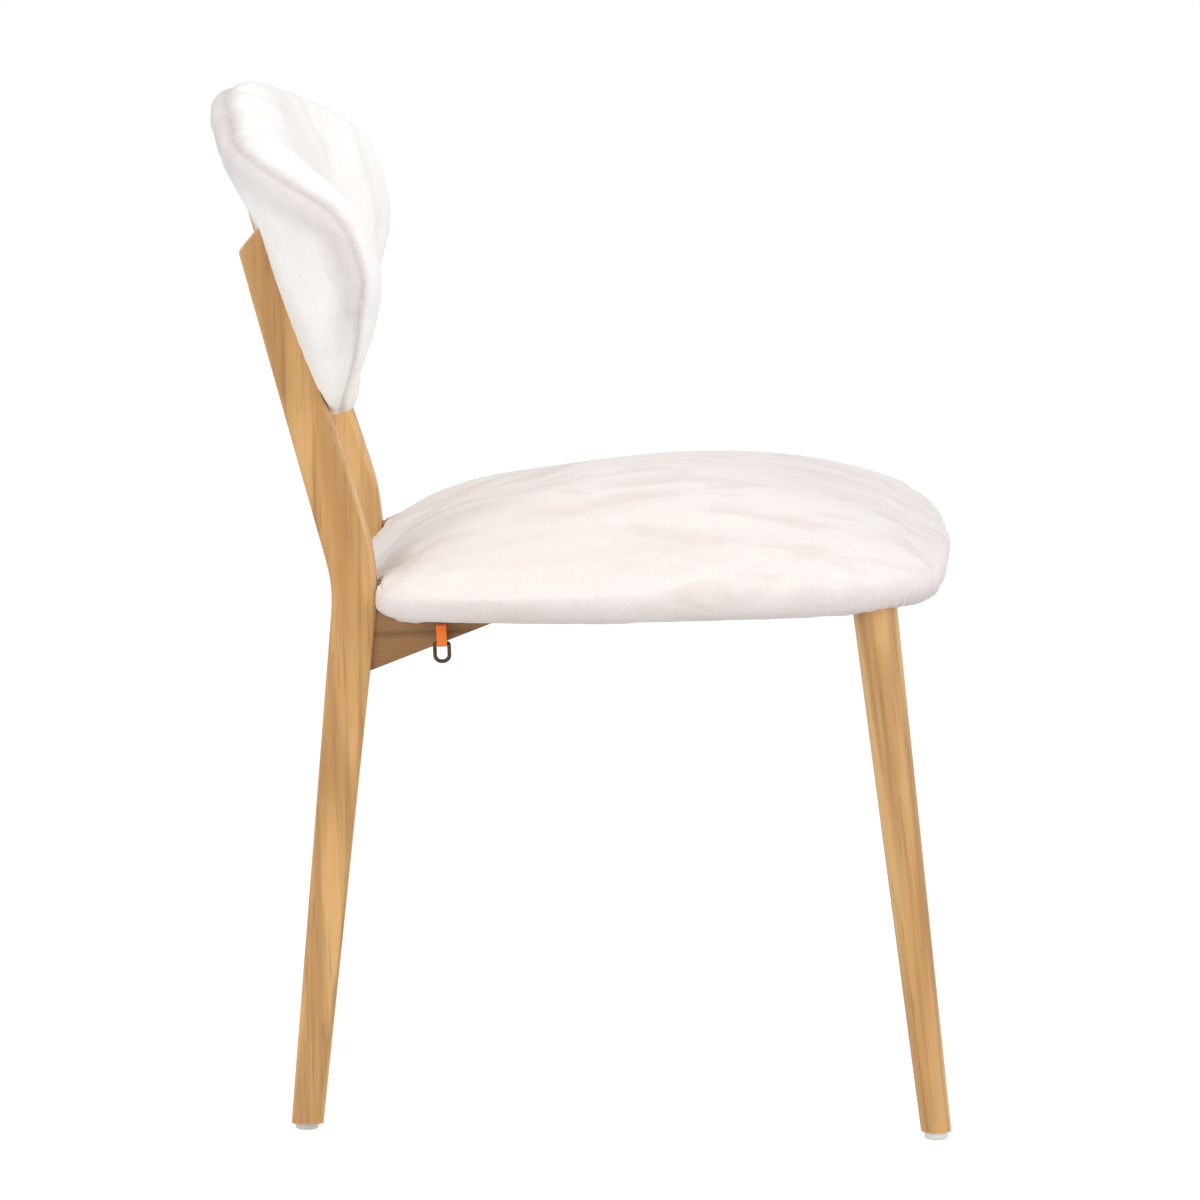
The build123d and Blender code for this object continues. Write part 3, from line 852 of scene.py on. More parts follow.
@dataclass
class SeatCushion:
    """Domed seat cushion in plush, with its pulled fold and gathered front corners."""

    tilt: float = math.radians(2.1)
    plane_height: float = 0.4005
    centre_back: float = 0.0057
    upholstery: Upholstery = field(
        default_factory=lambda: Upholstery(
            voxel=0.006, smoothing=6, pressure=9.0, most_swell=0.0035, plain_swell=0.0018
        )
    )
    hem_height: float = 0.006
    folds: tuple[Fold, ...] = (
        Fold(
            (
                (-0.0750, 0.1660),
                (-0.0530, 0.1570),
                (-0.0360, 0.1490),
                (-0.0190, 0.1390),
                (-0.0060, 0.1260),
                (0.0015, 0.1100),
                (0.0015, 0.0960),
                (-0.0070, 0.0790),
                (-0.0190, 0.0610),
                (-0.0320, 0.0400),
                (-0.0440, 0.0160),
            ),
            depth=0.0034,
            width=0.0044,
            fade_from=0.3,
            darkness=0.5,
        ),
        Fold(
            ((-0.1040, 0.1680), (-0.1110, 0.1480), (-0.1320, 0.1320), (-0.1450, 0.1180)),
            depth=0.0012,
            width=0.004,
            fade_from=0.2,
            darkness=0.12,
        ),
    )
    fold_foot: Span = (0.010, 0.030)
    free_skin: Span = (0.002, 0.005)
    sculpted_skin: Span = (0.004, 0.008)
    run_centre: float = -0.06
    run_radius: float = 0.21
    low_foot: Span = (-0.001, 0.006)
    low_top: Span = (0.022, 0.046)
    pull_depth: float = 0.0004
    pull_length: float = 0.034
    pull_wander: float = 2.5
    pull_waves: tuple[Triple, ...] = ((0.35, 61, 1.3), (0.25, 29, 0.4))
    pull_change: Span = (0.4, 17)
    gather_depth: float = 0.0014
    gather_length: float = 0.0062
    gather_corner: Span = (0.172, -0.238)
    gather_fade: Span = (0.0136, 0.0544)
    gather_wander: Span = (1.7, 53)
    gather_top: Span = (0.008, 0.024)
    gather_shade: float = 0.35
    gather_shade_from: float = -0.5
    gather_shade_top: Span = (0.008, 0.02)
    hem_shade: float = 0.18
    hem_shade_top: Span = (0.008, 0.03)
    rim_out: float = 0.0032
    rim_facing: Span = (0.25, 0.8)
    rim_full: float = 0.026
    rim_top: float = 0.065
    rim_drop: float = 0.003
    rim_drop_top: float = 0.030
    rear_sink: float = 0.0065
    rear_sink_run: Span = (-0.09, 0.06)
    rear_sink_height: Span = (0.010, 0.034)
    rear_sink_facing: Span = (0.0, 0.5)
    rear_bulge: float = 0.008
    rear_reach: float = 0.014
    rear_facing: Span = (0.05, 0.6)
    rear_run: Span = (0.0, 0.1)
    rear_low: Span = (0.0, 0.010)
    rear_high: Span = (0.042, 0.075)
    between_legs: float = 0.113
    leg_edge: float = 0.01
    press_rounds: int = 12

    def build(self, frame: dict) -> Piece:
        """Model the cushion over the frame's seat solids.


        Returns:
            The cushion.
        """
        nodes = frame["nodes"]
        cover = MeshTools.tree(nodes["seat_cover"])
        piece = MeshTools.joined([nodes["seat_foam"]], "seat_cushion")
        self.upholstery.remesh(piece)
        points = MeshTools.points(piece.data)
        outside = 1 - ease(*self.free_skin, MeshTools.distances(cover, points))
        free = outside * ease(0.0, 2 * self.hem_height, self.flat(points)[:, 2])
        self.upholstery.swell(piece, free, Upholstery.room_beside(nodes, points))
        Upholstery.refine(piece)
        self.fill_rim(piece, nodes)
        self.press_back(piece, nodes)
        self.sculpt(piece, cover)
        return piece

    def flat(self, points: np.ndarray) -> np.ndarray:
        """Places in the untilted seat plane.

        Args:
            points: Places in the chair's frame.

        Returns:
            The same places, level and from the underside of the seat.
        """
        low = points - np.array([0, self.centre_back, self.plane_height])
        cosine, sine = math.cos(self.tilt), math.sin(self.tilt)
        return np.stack(
            [
                low[:, 0],
                cosine * low[:, 1] - sine * low[:, 2],
                sine * low[:, 1] + cosine * low[:, 2],
            ],
            axis=1,
        )

    def fill_rim(self, piece: Piece, nodes: dict) -> None:
        """Stuff the rim fuller, tighten its lower edge and let the rear of the dome sink.

        Args:
            piece: The cushion.
            nodes: The frame's objects by name.
        """
        points = MeshTools.points(piece.data)
        normals = MeshTools.normals(piece.data)
        height = self.flat(points)[:, 2]
        sideways = np.hypot(normals[:, 0], normals[:, 1])
        share = ease(*self.rim_facing, sideways) * (1 - ease(self.rim_full, self.rim_top, height))
        out = np.minimum(self.rim_out * share, Upholstery.room_beside(nodes, points))
        points[:, :2] += normals[:, :2] / np.maximum(sideways, TINY)[:, None] * out[:, None]
        points[:, 2] -= self.rim_drop * share * (1 - ease(0.0, self.rim_drop_top, height))
        sunk = ease(*self.rear_sink_run, points[:, 1] - self.centre_back)
        sunk *= ease(*self.rear_sink_height, height)
        sunk *= ease(*self.rear_sink_facing, normals[:, 2])
        points[:, 2] -= self.rear_sink * sunk
        MeshTools.place(piece.data, points)

    def press_back(self, piece: Piece, nodes: dict) -> None:
        """Press the rear corners against the legs and let the middle bulge between them.

        Args:
            piece: The cushion.
            nodes: The frame's objects by name.
        """
        points = MeshTools.points(piece.data)
        flat = self.flat(points)
        facing = ease(*self.rear_facing, MeshTools.normals(piece.data)[:, 1])
        facing *= ease(*self.rear_run, points[:, 1])
        band = ease(*self.rear_low, flat[:, 2]) * (1 - ease(*self.rear_high, flat[:, 2]))
        inner, outer = self.between_legs - self.leg_edge, self.between_legs + self.leg_edge
        middle = 1 - ease(inner, outer, np.abs(points[:, 0]))
        move = self.rear_bulge * middle
        room = np.full(len(points), 1.0)
        legs = [MeshTools.tree(nodes[name]) for name in REAR_LEGS]
        for index in np.flatnonzero((facing > 0) & (middle < 1)):
            for leg in legs:
                distance = leg.ray_cast(Vector(points[index]), Vector((0, 1, 0)), self.rear_reach)[3]
                if distance is not None:
                    room[index] = max(distance - COVER_CLEARANCE, 0.0)
                    move[index] = room[index]
        move = MeshTools.spread(piece.data, move, self.press_rounds)
        points[:, 1] += np.minimum(move * facing * band, room)
        MeshTools.place(piece.data, points)

    def sculpt(self, piece: Piece, cover: BVHTree) -> None:
        """Press the fold, the pulls and the corner gathers into the cover, and paint shade into their
        valleys, creases and the low rim.

        Args:
            piece: The cushion.
            cover: Search tree of the frame's seat cover.
        """
        points = MeshTools.points(piece.data)
        normals = MeshTools.normals(piece.data)
        flat = self.flat(points)
        height = flat[:, 2]
        outside = 1 - ease(*self.sculpted_skin, MeshTools.distances(cover, points))
        above = ease(*self.fold_foot, height)
        move = np.zeros(len(points))
        shade = np.zeros(len(points))
        # Each fold's valley is also darkened with painted shade
        for fold in self.folds:
            pressed, valley = fold.press(flat)
            move += pressed * above
            shade += valley * above

        # Slow waves along the rim keep the pulls and gathers uneven
        run = np.arctan2(flat[:, 0], self.run_centre - flat[:, 1]) * self.run_radius
        low_band = ease(*self.low_foot, height) * (1 - ease(*self.low_top, height))
        wander = sum(share * np.sin(run * per_metre + start) for share, per_metre, start in self.pull_waves)
        pulls = np.sin(2 * math.pi * run / self.pull_length + self.pull_wander * wander)
        change, per_metre = self.pull_change
        move += self.pull_depth * pulls * low_band * (1 - change + change * np.sin(run * per_metre))

        corner = np.hypot(np.abs(flat[:, 0]) - self.gather_corner[0], flat[:, 1] - self.gather_corner[1])
        near = (1 - ease(*self.gather_fade, corner)) * low_band
        bend, per_metre = self.gather_wander
        gathers = np.sin(2 * math.pi * run / self.gather_length + bend * np.sin(run * per_metre))
        move += self.gather_depth * gathers * near * (1 - ease(*self.gather_top, height))

        MeshTools.place(piece.data, points + normals * (move * outside)[:, None])
        # Painted shade in the gathers' creases and along the low band of the rim, where less light falls
        creased = near * (gathers < self.gather_shade_from)
        shade += self.gather_shade * creased * (1 - ease(*self.gather_shade_top, height))
        shade += self.hem_shade * low_band * (1 - ease(*self.hem_shade_top, height))
        MeshTools.store(piece.data, "shade", np.clip(shade, 0, 1) * outside)

    def dress(self, piece: Piece, plush: PlushFinish) -> None:
        """Give the cushion its plush and join it to the frame.

        Args:
            piece: The cushion.
            plush: Its finish.
        """
        paint(piece, plush.material("plush_seat", PileLay.ALONG_SEAT))
        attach(piece, CHAIR_BODY)
        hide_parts("seat_foam", "seat_cover")


@dataclass
class BackrestCushion:
    """Curved backrest pad in plush, with a seam between its front and rear covers."""

    upholstery: Upholstery = field(
        default_factory=lambda: Upholstery(
            voxel=0.005, smoothing=5, pressure=9.0, most_swell=0.003, plain_swell=0.0018
        )
    )
    seam_set: float = 0.012
    seam_set_toe: float = 0.4
    seam_set_crown: float = 0.55
    seam_reach: float = 0.006
    seam_blend: float = 1.5
    least_weight: float = 1e-12
    seam_depth: float = 0.0022
    seam_width: float = 0.0028
    lip_height: float = 0.0008
    lip_set: float = 3.0
    lip_width: float = 1.6
    band_width: float = 0.010
    band_set: float = 0.8
    band_shade: float = 0.42
    groove_shade: float = 0.5
    most_shade: float = 0.75
    seam_points: int = 260
    lump_height: float = 0.0005
    lump_waves: tuple[Triple, ...] = ((71, 23, 0.0), (-31, 64, 0.8))
    wood_clear: Span = (0.002, 0.012)
    crown_from: float = 0.690
    crown_full: float = 0.770
    crown_back: float = 0.016
    crown_up: float = 0.003
    crown_facing: Span = (-0.6, 0.5)
    crown_blend: float = 0.02
    upward_facing: Span = (0.0, 0.8)
    shoulder_up: float = 0.0105
    shoulder_across: float = 0.166
    shoulder_width: float = 0.036
    toe_from: float = 0.645
    toe_full: float = 0.575
    toe_back: float = 0.007
    toe_facing: Span = (-0.2, 0.6)
    fill_rounds: int = 40

    def build(self, frame: dict) -> Piece:
        """Model the pad over the frame's backrest solids.


        Returns:
            The pad.
        """
        nodes = frame["nodes"]
        layers = [nodes[name] for name in ("backrest_shell", "backrest_foam", "backrest_wadding")]
        piece = MeshTools.joined(layers, "backrest_cushion")
        self.upholstery.remesh(piece)
        room = Upholstery.room_beside(nodes, MeshTools.points(piece.data))
        self.upholstery.swell(piece, np.ones(len(room)), room)
        Upholstery.refine(piece)
        self.fill_out(piece)
        self.sculpt(piece, nodes)
        return piece

    def fill_out(self, piece: Piece) -> None:
        """Stuff the crown and the shoulders, and thin the lower front edge.

        Args:
            piece: The pad.
        """
        points = MeshTools.points(piece.data)
        normals = MeshTools.normals(piece.data)
        crown = ease(self.crown_from, self.crown_full, points[:, 2])
        shoulder = bell(np.abs(points[:, 0]) - self.shoulder_across, self.shoulder_width)
        upward = ease(*self.upward_facing, normals[:, 2])
        upward *= ease(self.crown_from - self.crown_blend, self.crown_from + self.crown_blend, points[:, 2])
        toe = 1 - ease(self.toe_full, self.toe_from, points[:, 2])
        back = self.crown_back * crown * ease(*self.crown_facing, normals[:, 1])
        back += self.toe_back * toe * ease(*self.toe_facing, -normals[:, 1])
        up = (self.crown_up * crown + self.shoulder_up * shoulder) * upward
        points[:, 1] += MeshTools.spread(piece.data, back, self.fill_rounds)
        points[:, 2] += MeshTools.spread(piece.data, up, self.fill_rounds)
        MeshTools.place(piece.data, points)

    def sculpt(self, piece: Piece, nodes: dict) -> None:
        """Draw in the seam with painted shade along it, and give the stuffing a little life.

        Args:
            piece: The pad.
            nodes: The frame's objects by name.
        """
        points = MeshTools.points(piece.data)
        normals = MeshTools.normals(piece.data)
        front = MeshTools.tree(nodes["backrest_front_cover"])
        rear = MeshTools.tree(nodes["backrest_rear_cover"])
        above_toe = ease(self.toe_full, self.toe_from, points[:, 2])
        crown = ease(self.crown_from, self.crown_full, points[:, 2])
        seam_set = self.seam_set * (self.seam_set_toe + (1 - self.seam_set_toe) * above_toe)
        seam_set *= 1 - (1 - self.seam_set_crown) * crown
        beside = MeshTools.distances(rear, points) - MeshTools.distances(front, points) + seam_set
        clear = ease(*self.wood_clear, Upholstery.room_beside(nodes, points))
        groove = bell(beside, self.seam_width)
        from_lip = np.abs(beside) - self.lip_set * self.seam_width
        move = self.lip_height * bell(from_lip, self.lip_width * self.seam_width) - self.seam_depth * groove
        lumps = self.lump_height * clear
        for across, up, start in self.lump_waves:
            lumps = lumps * np.sin(points[:, 0] * across + points[:, 2] * up + start)
        move += lumps
        MeshTools.place(piece.data, points + normals * move[:, None])
        # Painted shade: darker in the seam's groove and in a band on the rear cover beside the seam, above
        # the toe
        band = bell(beside + self.band_set * self.band_width, self.band_width)
        shade = self.groove_shade * groove + self.band_shade * band * (beside < 0) * above_toe
        MeshTools.store(piece.data, "shade", np.clip(shade, 0, self.most_shade))
        MeshTools.store(piece.data, "beside_seam", beside)

    def seam_line(self, piece: Piece) -> np.ndarray:
        """Find the seam as a closed line round the pad.

        Args:
            piece: The sculpted pad.

        Returns:
            Points along the seam, in order.
        """
        points = MeshTools.points(piece.data)
        beside = np.empty(len(points), dtype=np.float32)
        piece.data.attributes["beside_seam"].data.foreach_get("value", beside)
        ends = MeshTools.edge_ends(piece.data)
        first, second = beside[ends[:, 0]], beside[ends[:, 1]]
        crossing = (first * second < 0) & (np.maximum(np.abs(first), np.abs(second)) < self.seam_reach)
        share = (first / (first - second))[crossing][:, None]
        spots = points[ends[crossing, 0]] * (1 - share) + points[ends[crossing, 1]] * share
        middle = (spots.min(axis=0) + spots.max(axis=0)) / 2
        turn = np.arctan2(spots[:, 2] - middle[2], spots[:, 0] - middle[0])
        steps = np.linspace(-math.pi, math.pi, self.seam_points, endpoint=False)
        line = []
        for step in steps:
            gap = np.abs((turn - step + math.pi) % (2 * math.pi) - math.pi)
            weight = bell(gap, self.seam_blend * math.pi / self.seam_points) + self.least_weight
            line.append((spots * weight[:, None]).sum(axis=0) / weight.sum())
        return np.array(line)

    def dress(self, piece: Piece, plush: PlushFinish) -> None:
        """Give the pad its plush and join it to the frame.

        Args:
            piece: The pad.
            plush: Its finish.
        """
        paint(piece, plush.material("plush_backrest", PileLay.UP_THE_BACK))
        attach(piece, CHAIR_BODY)
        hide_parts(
            "backrest_shell",
            "backrest_foam",
            "backrest_wadding",
            "backrest_front_cover",
            "backrest_rear_cover",
        )


class RowShape(Enum):
    """What a row along a line is made of."""

    STITCH = "stitch"
    STAPLE = "staple"


@dataclass
class RowAlongLine:
    """A row of small pieces along a line, made with Geometry Nodes."""

    name: str
    shape: RowShape
    spacing: float
    length: float
    width: float
    height: float
    sides: int = 8
    rings: int = 5

    def node_group(self) -> bpy.types.NodeTree:
        """Build the node tree that sets pieces along the line.

        Returns:
            The tree, with named inputs for its sizes and material.
        """
        tree = bpy.data.node_groups.new(self.name + "_row", "GeometryNodeTree")
        tree.interface.new_socket("Line", in_out="INPUT", socket_type="NodeSocketGeometry")
        for label, value in (
            ("Spacing", self.spacing),
            ("Length", self.length),
            ("Width", self.width),
            ("Height", self.height),
        ):
            socket = tree.interface.new_socket(label, in_out="INPUT", socket_type="NodeSocketFloat")
            socket.default_value = value
        tree.interface.new_socket("Material", in_out="INPUT", socket_type="NodeSocketMaterial")
        tree.interface.new_socket("Pieces", in_out="OUTPUT", socket_type="NodeSocketGeometry")
        graph = NodeGraph(tree)
        source = graph.add("NodeGroupInput", {})
        curve = graph.add("GeometryNodeMeshToCurve", {"Mesh": source.outputs["Line"]})
        run = {"Curve": curve.outputs["Curve"], "Length": source.outputs["Spacing"]}
        spots = graph.add("GeometryNodeCurveToPoints", run, mode="LENGTH")
        sides = {axis: source.outputs[side] for axis, side in zip("XYZ", ("Height", "Width", "Length"))}
        size = graph.add("ShaderNodeCombineXYZ", sides)
        # The body is 1 across and 1 long, so that its scale is its size
        if self.shape is RowShape.STITCH:
            form = {"Segments": self.sides, "Rings": self.rings, "Radius": 0.5}
            body = graph.add("GeometryNodeMeshUVSphere", form)
        else:
            form = {"Vertices": self.sides, "Radius": 0.5, "Depth": 1.0}
            body = graph.add("GeometryNodeMeshCylinder", form)
        setting = {
            "Points": spots.outputs["Points"],
            "Instance": body.outputs["Mesh"],
            "Rotation": spots.outputs["Rotation"],
            "Scale": size.outputs["Vector"],
        }
        scatter = graph.add("GeometryNodeInstanceOnPoints", setting)
        solid = graph.add("GeometryNodeRealizeInstances", {"Geometry": scatter.outputs["Instances"]})
        coat = {"Geometry": solid.outputs["Geometry"], "Material": source.outputs["Material"]}
        coated = graph.add("GeometryNodeSetMaterial", coat)
        graph.add("NodeGroupOutput", {"Pieces": coated.outputs["Geometry"]})
        return tree

    def build(self, lines: Sequence[np.ndarray], closed: bool, finish: Material) -> Piece:
        """Set the row along lines.

        Args:
            lines: Each line's points in order.
            closed: Whether each line joins its ends.
            finish: Material of the pieces.

        Returns:
            The row as one mesh object.
        """
        vertices: list[Vector] = []
        edges: list[tuple[int, int]] = []
        for line in lines:
            first = len(vertices)
            vertices.extend(Vector(point) for point in line)
            edges.extend((first + index, first + index + 1) for index in range(len(line) - 1))
            if closed:
                edges.append((len(vertices) - 1, first))
        mesh = bpy.data.meshes.new(self.name)
        mesh.from_pydata(vertices, edges, [])
        piece = linked(self.name, mesh)
        tree = self.node_group()
        row = piece.modifiers.new("row", "NODES")
        row.node_group = tree
        for socket in tree.interface.items_tree:
            if socket.name == "Material" and socket.in_out == "INPUT":
                row[socket.identifier] = finish
        MeshTools.settle(piece)
        MeshTools.smooth_faces(piece.data)
        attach(piece, CHAIR_BODY)
        return piece


@dataclass
class OakFrame:
    """Legs, uprights and side rails in oak, with the grain of the left ones."""

    grains: dict[str, Triple] = field(
        default_factory=lambda: {
            "rear_leg": (-0.045, 0.02, 1),
            "front_leg": (-0.0575, 0.119, 1),
            "side_rail": (-0.08, 1, -0.037),
        }
    )

    def dress(self, frame: dict, oak: OakFinish, shaded_rail_oak: OakFinish) -> None:
        """Give every oak piece its own grain.

        Args:
            oak: Finish of the legs.
            shaded_rail_oak: Finish of the side rails, the oak darkened with painted shade for the shadow
                under the seat.
        """
        for kind, (across, back, up) in self.grains.items():
            # The side rails get oak darkened with painted shade, for the shadow under the seat's overhang
            finish = shaded_rail_oak if kind == "side_rail" else oak
            for side, sign in (("left", 1), ("right", -1)):
                node = f"{kind}_{side}"
                grain = Vector((sign * across, back, up)).normalized()
                paint(frame["nodes"][node], finish.material("oak_" + node, grain))


@dataclass
class Fittings:
    """The plain pieces: glides, nails, screws, bolts, inner wood, strap and ring."""

    finishes: dict[str, PlainFinish] = field(
        default_factory=lambda: {
            "glide": PlainFinish((236, 234, 228), (222, 219, 212), roughness=0.48),
            "softwood": PlainFinish(
                (214, 182, 132), (186, 150, 102), roughness=0.7, per_metre=90.0, stretch=(1.0, 1.0, 0.3)
            ),
            "beech": PlainFinish((220, 190, 146), (198, 164, 118), roughness=0.62, per_metre=140.0),
            "zinc": PlainFinish(
                (186, 186, 182), (150, 150, 148), roughness=0.34, metallic=1.0, per_metre=260.0
            ),
            "brass": PlainFinish(
                (202, 164, 88), (170, 132, 64), roughness=0.34, metallic=1.0, per_metre=260.0
            ),
            "bronze": PlainFinish(
                (92, 72, 56), (52, 40, 32), roughness=0.42, metallic=0.85, per_metre=420.0, bump=0.3
            ),
        }
    )
    wearers: dict[str, tuple[str, ...]] = field(
        default_factory=lambda: {
            "glide": tuple(f"glide_{corner}" for corner in CORNERS),
            "softwood": ("front_rail", "rear_rail", *(f"corner_block_{corner}" for corner in CORNERS)),
            "beech": ("frame_dowels",),
            "zinc": ("corner_block_screws", "seat_board_screws", "glide_nails", "backrest_bolts"),
            "brass": ("backrest_insert_nuts",),
            "bronze": ("hang_ring",),
        }
    )

    def dress(self, frame: dict) -> None:
        """Give every plain piece its finish.
        """
        nodes = frame["nodes"]
        for label, finish in self.finishes.items():
            material = finish.material(label)
            for node in self.wearers[label]:
                paint(nodes[node], material)
        paint(nodes["hang_strap"], WebbingFinish().material("webbing"))
        paint(nodes["seat_dust_cover"], DustClothFinish().material("dust_cloth"))
        paint(nodes["seat_board"], PlywoodFinish().material("plywood"))


@dataclass(frozen=True)
class Lamp:
    """A soft square lamp that faces the chair."""

    name: str
    place: Triple
    size: float
    power: float
    aim: Triple = (0, 0, 0.45)

    def hang(self) -> None:
        """Put the lamp in the scene."""
        data = bpy.data.lights.new(self.name, "AREA")
        data.size = self.size
        data.energy = self.power
        lamp = linked(self.name, data)
        lamp.location = self.place
        way = Vector(self.aim) - Vector(self.place)
        lamp.rotation_mode = "QUATERNION"
        lamp.rotation_quaternion = way.to_track_quat("-Z", "Y")


@dataclass
class Studio:
    """Camera, lamps, white surround and floor."""

    target: Vector = field(default_factory=lambda: Vector((0.0, -0.00759, 0.3864)))
    distance: float = 12.0
    elevation: float = math.radians(9.49)
    swing: float = math.radians(0.1)
    lens: float = 462.7
    sensor: float = 36.0
    clip_end: float = 200.0
    lamps: tuple[Lamp, ...] = (
        Lamp("overhead", (-0.6, -0.1, 3.2), size=2.6, power=28.5),
        Lamp("side", (-2.5, 2.3, 1.6), size=2.0, power=39.0),
        Lamp("front", (-1.6, -2.9, 1.7), size=2.0, power=40.0),
    )
    surround_seen: float = 1.0
    surround_light: float = 0.56
    floor_half: float = 40.0
    floor_shade: float = 0.34
    floor_glow: float = 0.8
    floor_bounce: float = 0.8

    def camera(self) -> None:
        """Look at the chair's right side from a little above."""
        forward = Vector(
            (
                math.cos(self.swing) * math.cos(self.elevation),
                math.sin(self.swing) * math.cos(self.elevation),
                -math.sin(self.elevation),
            )
        )
        data = bpy.data.cameras.new("camera")
        data.sensor_width = self.sensor
        data.lens = self.lens
        data.clip_end = self.clip_end
        camera = linked("camera", data)
        camera.location = self.target - forward * self.distance
        camera.rotation_mode = "QUATERNION"
        camera.rotation_quaternion = forward.to_track_quat("-Z", "Y")
        bpy.context.scene.camera = camera

    @staticmethod
    def by_ray(graph: NodeGraph, light: bpy.types.Node, seen: bpy.types.Node) -> Socket:
        """Show one shader to rays that see the surround and another to those that bring its light.

        Args:
            graph: The graph to build in.
            light: Shader for the rays that only bring light.
            seen: Shader for camera, glossy and transmission rays.

        Returns:
            The mixed shader.
        """
        path = graph.add("ShaderNodeLightPath", {})
        share = path.outputs["Is Camera Ray"]
        for ray in ("Is Glossy Ray", "Is Transmission Ray"):
            either = graph.add("ShaderNodeMath", {0: share, 1: path.outputs[ray]}, operation="MAXIMUM")
            share = either.outputs["Value"]
        inputs = {0: share, 1: light.outputs[0], 2: seen.outputs[0]}
        return graph.add("ShaderNodeMixShader", inputs).outputs[0]

    def world(self) -> None:
        """A white surround: plain for the camera, softer as light."""
        world = bpy.data.worlds.new("surround")
        bpy.context.scene.world = world
        world.use_nodes = True
        graph = NodeGraph(world.node_tree)
        light, seen = [
            graph.add("ShaderNodeBackground", {"Color": WHITE, "Strength": strength})
            for strength in (self.surround_light, self.surround_seen)
        ]
        graph.add("ShaderNodeOutputWorld", {"Surface": self.by_ray(graph, light, seen)})

    def floor(self) -> None:
        """A plain pale floor that keeps a soft shadow."""
        half = self.floor_half
        mesh = bpy.data.meshes.new("floor")
        corners = [(-half, -half, 0), (half, -half, 0), (half, half, 0), (-half, half, 0)]
        mesh.from_pydata(corners, [], [(0, 1, 2, 3)])
        floor = linked("floor", mesh)
        material = bpy.data.materials.new("floor")
        material.use_nodes = True
        graph = NodeGraph(material.node_tree)
        matt, plain = [
            graph.add("ShaderNodeBsdfDiffuse", {"Color": (shade, shade, shade, 1)})
            for shade in (self.floor_shade, self.floor_bounce)
        ]
        glow = graph.add("ShaderNodeEmission", {"Strength": self.floor_glow})
        lit = graph.add("ShaderNodeAddShader", {0: matt.outputs[0], 1: glow.outputs[0]})
        graph.add("ShaderNodeOutputMaterial", {"Surface": self.by_ray(graph, plain, lit)})
        mesh.materials.append(material)

    def build(self) -> None:
        """Set up the whole studio."""
        bpy.context.scene.view_settings.view_transform = "Standard"
        self.camera()
        for lamp in self.lamps:
            lamp.hang()
        self.world()
        self.floor()


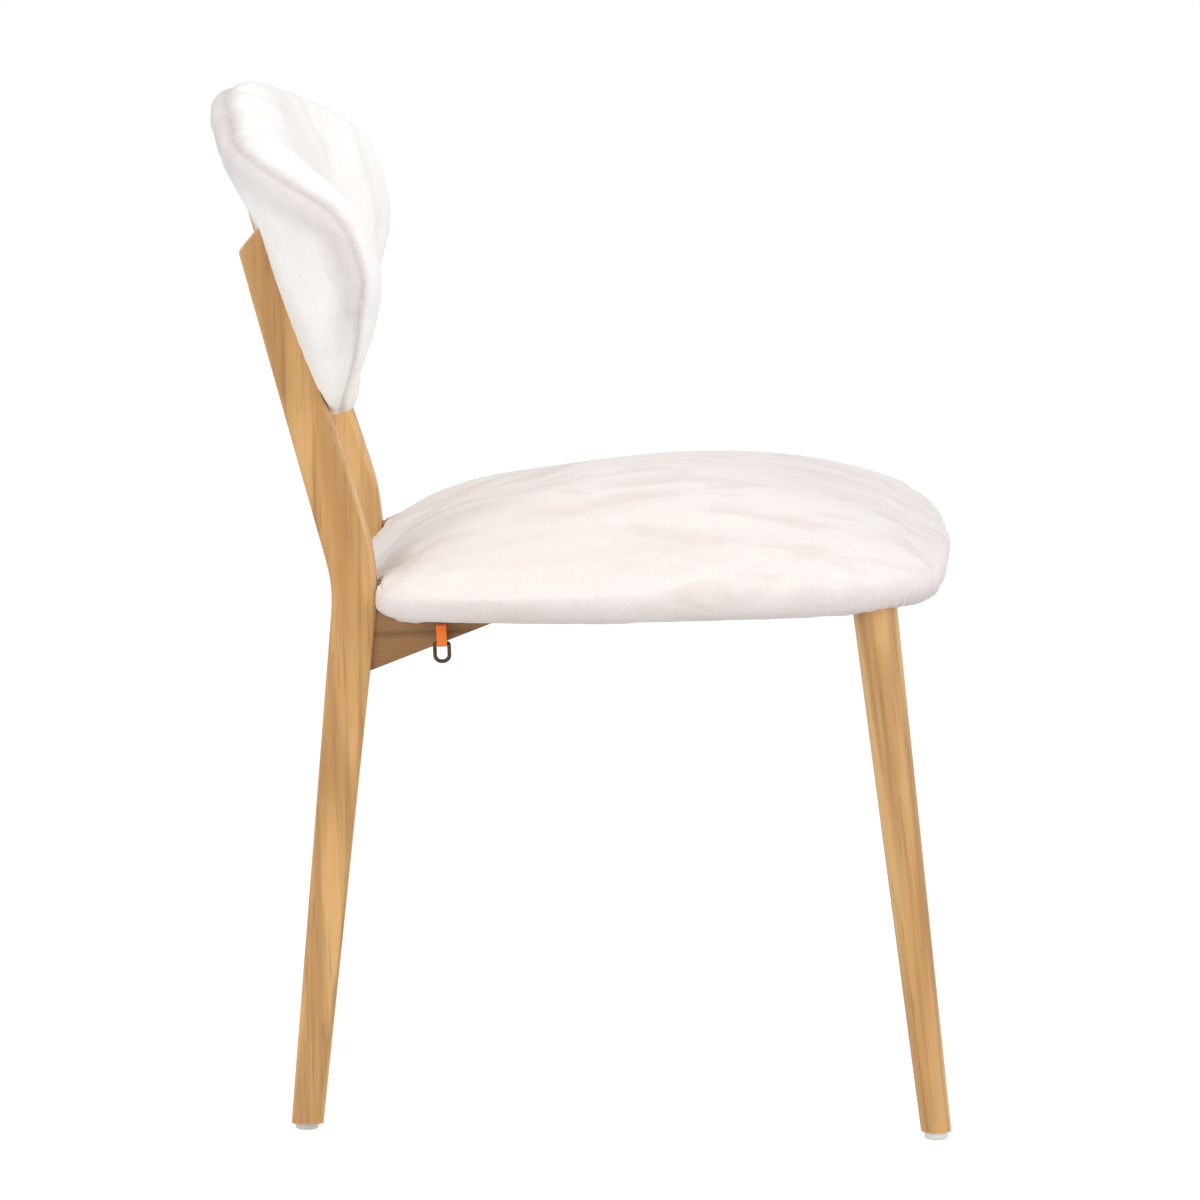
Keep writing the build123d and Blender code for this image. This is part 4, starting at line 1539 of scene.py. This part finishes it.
@dataclass
class StapleRuns:
    """Finds the runs under the seat where staples hold the dust cover."""

    inset: float = 0.006
    step: float = 0.004
    edge_band: float = 0.002
    cast_from: float = 0.2
    clearance: float = 0.0002
    fewest_points: int = 3

    def corners(self, points: np.ndarray) -> list[tuple[float, float]]:
        """The corners of the run, inset from the cover's edge.

        Args:
            points: The dust cover's vertices.

        Returns:
            Four corners, from the rear right round to the front right.
        """
        rear, front = points[:, 1].max(), points[:, 1].min()
        rear_half = np.abs(points[points[:, 1] > rear - self.edge_band, 0]).max() - self.inset
        front_half = np.abs(points[points[:, 1] < front + self.edge_band, 0]).max()
        front_half = max(front_half, np.abs(points[:, 0]).max() - self.edge_band) - self.inset
        return [
            (-rear_half, rear - self.inset),
            (rear_half, rear - self.inset),
            (front_half, front + self.inset),
            (-front_half, front + self.inset),
        ]

    def lines(self, dust_cover: Piece) -> list[np.ndarray]:
        """Follow the cover from corner to corner.

        Args:
            dust_cover: The frame's dust cover.

        Returns:
            Lines just under the cover, broken where a leg or rail passes through it.
        """
        corners = self.corners(MeshTools.points(dust_cover.data))
        tree = MeshTools.tree(dust_cover)
        lines: list[np.ndarray] = []
        for index, start in enumerate(corners):
            end = corners[(index + 1) % len(corners)]
            count = int(math.dist(start, end) / self.step)
            run: list[Vector] = []
            for share in np.linspace(0, 1, count + 1):
                x = start[0] + share * (end[0] - start[0])
                y = start[1] + share * (end[1] - start[1])
                hit = tree.ray_cast(Vector((x, y, self.cast_from)), Vector((0, 0, 1)))[0]
                if hit is not None:
                    run.append(hit - Vector((0, 0, self.clearance)))
                elif len(run) >= self.fewest_points:
                    lines.append(np.array(run))
                    run = []
            if len(run) >= self.fewest_points:
                lines.append(np.array(run))
        return lines


def main() -> None:
    """Build the chair's looks piece by piece."""
    logging.basicConfig(level=logging.INFO)
    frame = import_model()
    # Seat and backrest are one cloth in two copies: the backrest's plush is painted lighter and the seat's
    # darker, as painted light and shade for how each is lit
    seat_plush = PlushFinish()
    lit_back_plush = PlushFinish(cream=(251, 249, 246), smudge=(236, 230, 228), shade=(190, 177, 176))

    seat = SeatCushion()
    seat_piece = seat.build(frame)
    seat.dress(seat_piece, seat_plush)
    LOG.info("seat cushion: %d faces", len(seat_piece.data.polygons))

    back = BackrestCushion()
    back_piece = back.build(frame)
    seam = back.seam_line(back_piece)
    back.dress(back_piece, lit_back_plush)
    LOG.info("backrest cushion: %d faces", len(back_piece.data.polygons))

    thread = PlainFinish((236, 230, 224), (214, 205, 198), roughness=0.7).material("thread")
    stitches = RowAlongLine(
        "seam_stitches", RowShape.STITCH, spacing=0.0034, length=0.0028, width=0.0007, height=0.0007
    )
    stitch_piece = stitches.build([seam], True, thread)
    LOG.info("seam stitches: %d faces", len(stitch_piece.data.polygons))

    # The side rails' oak is the legs' oak darkened as painted shade, for the shadow under the seat's
    # overhang
    shaded_rail_oak = OakFinish(light=(158, 115, 68), middle=(138, 97, 55), dark=(100, 66, 34), pore=(80, 52, 28))
    OakFrame().dress(frame, OakFinish(), shaded_rail_oak)
    Fittings().dress(frame)
    LOG.info("frame pieces dressed")

    steel = PlainFinish((190, 190, 188), (158, 158, 156), roughness=0.3, metallic=1.0, per_metre=300.0)
    staples = RowAlongLine(
        "dust_cover_staples", RowShape.STAPLE, spacing=0.024, length=0.010, width=0.0012, height=0.0007
    )
    runs = StapleRuns().lines(frame["nodes"]["seat_dust_cover"])
    staple_piece = staples.build(runs, False, steel.material("staple_wire"))
    LOG.info("staples: %d faces", len(staple_piece.data.polygons))

    Studio().build()


if __name__ == "__main__":
    main()
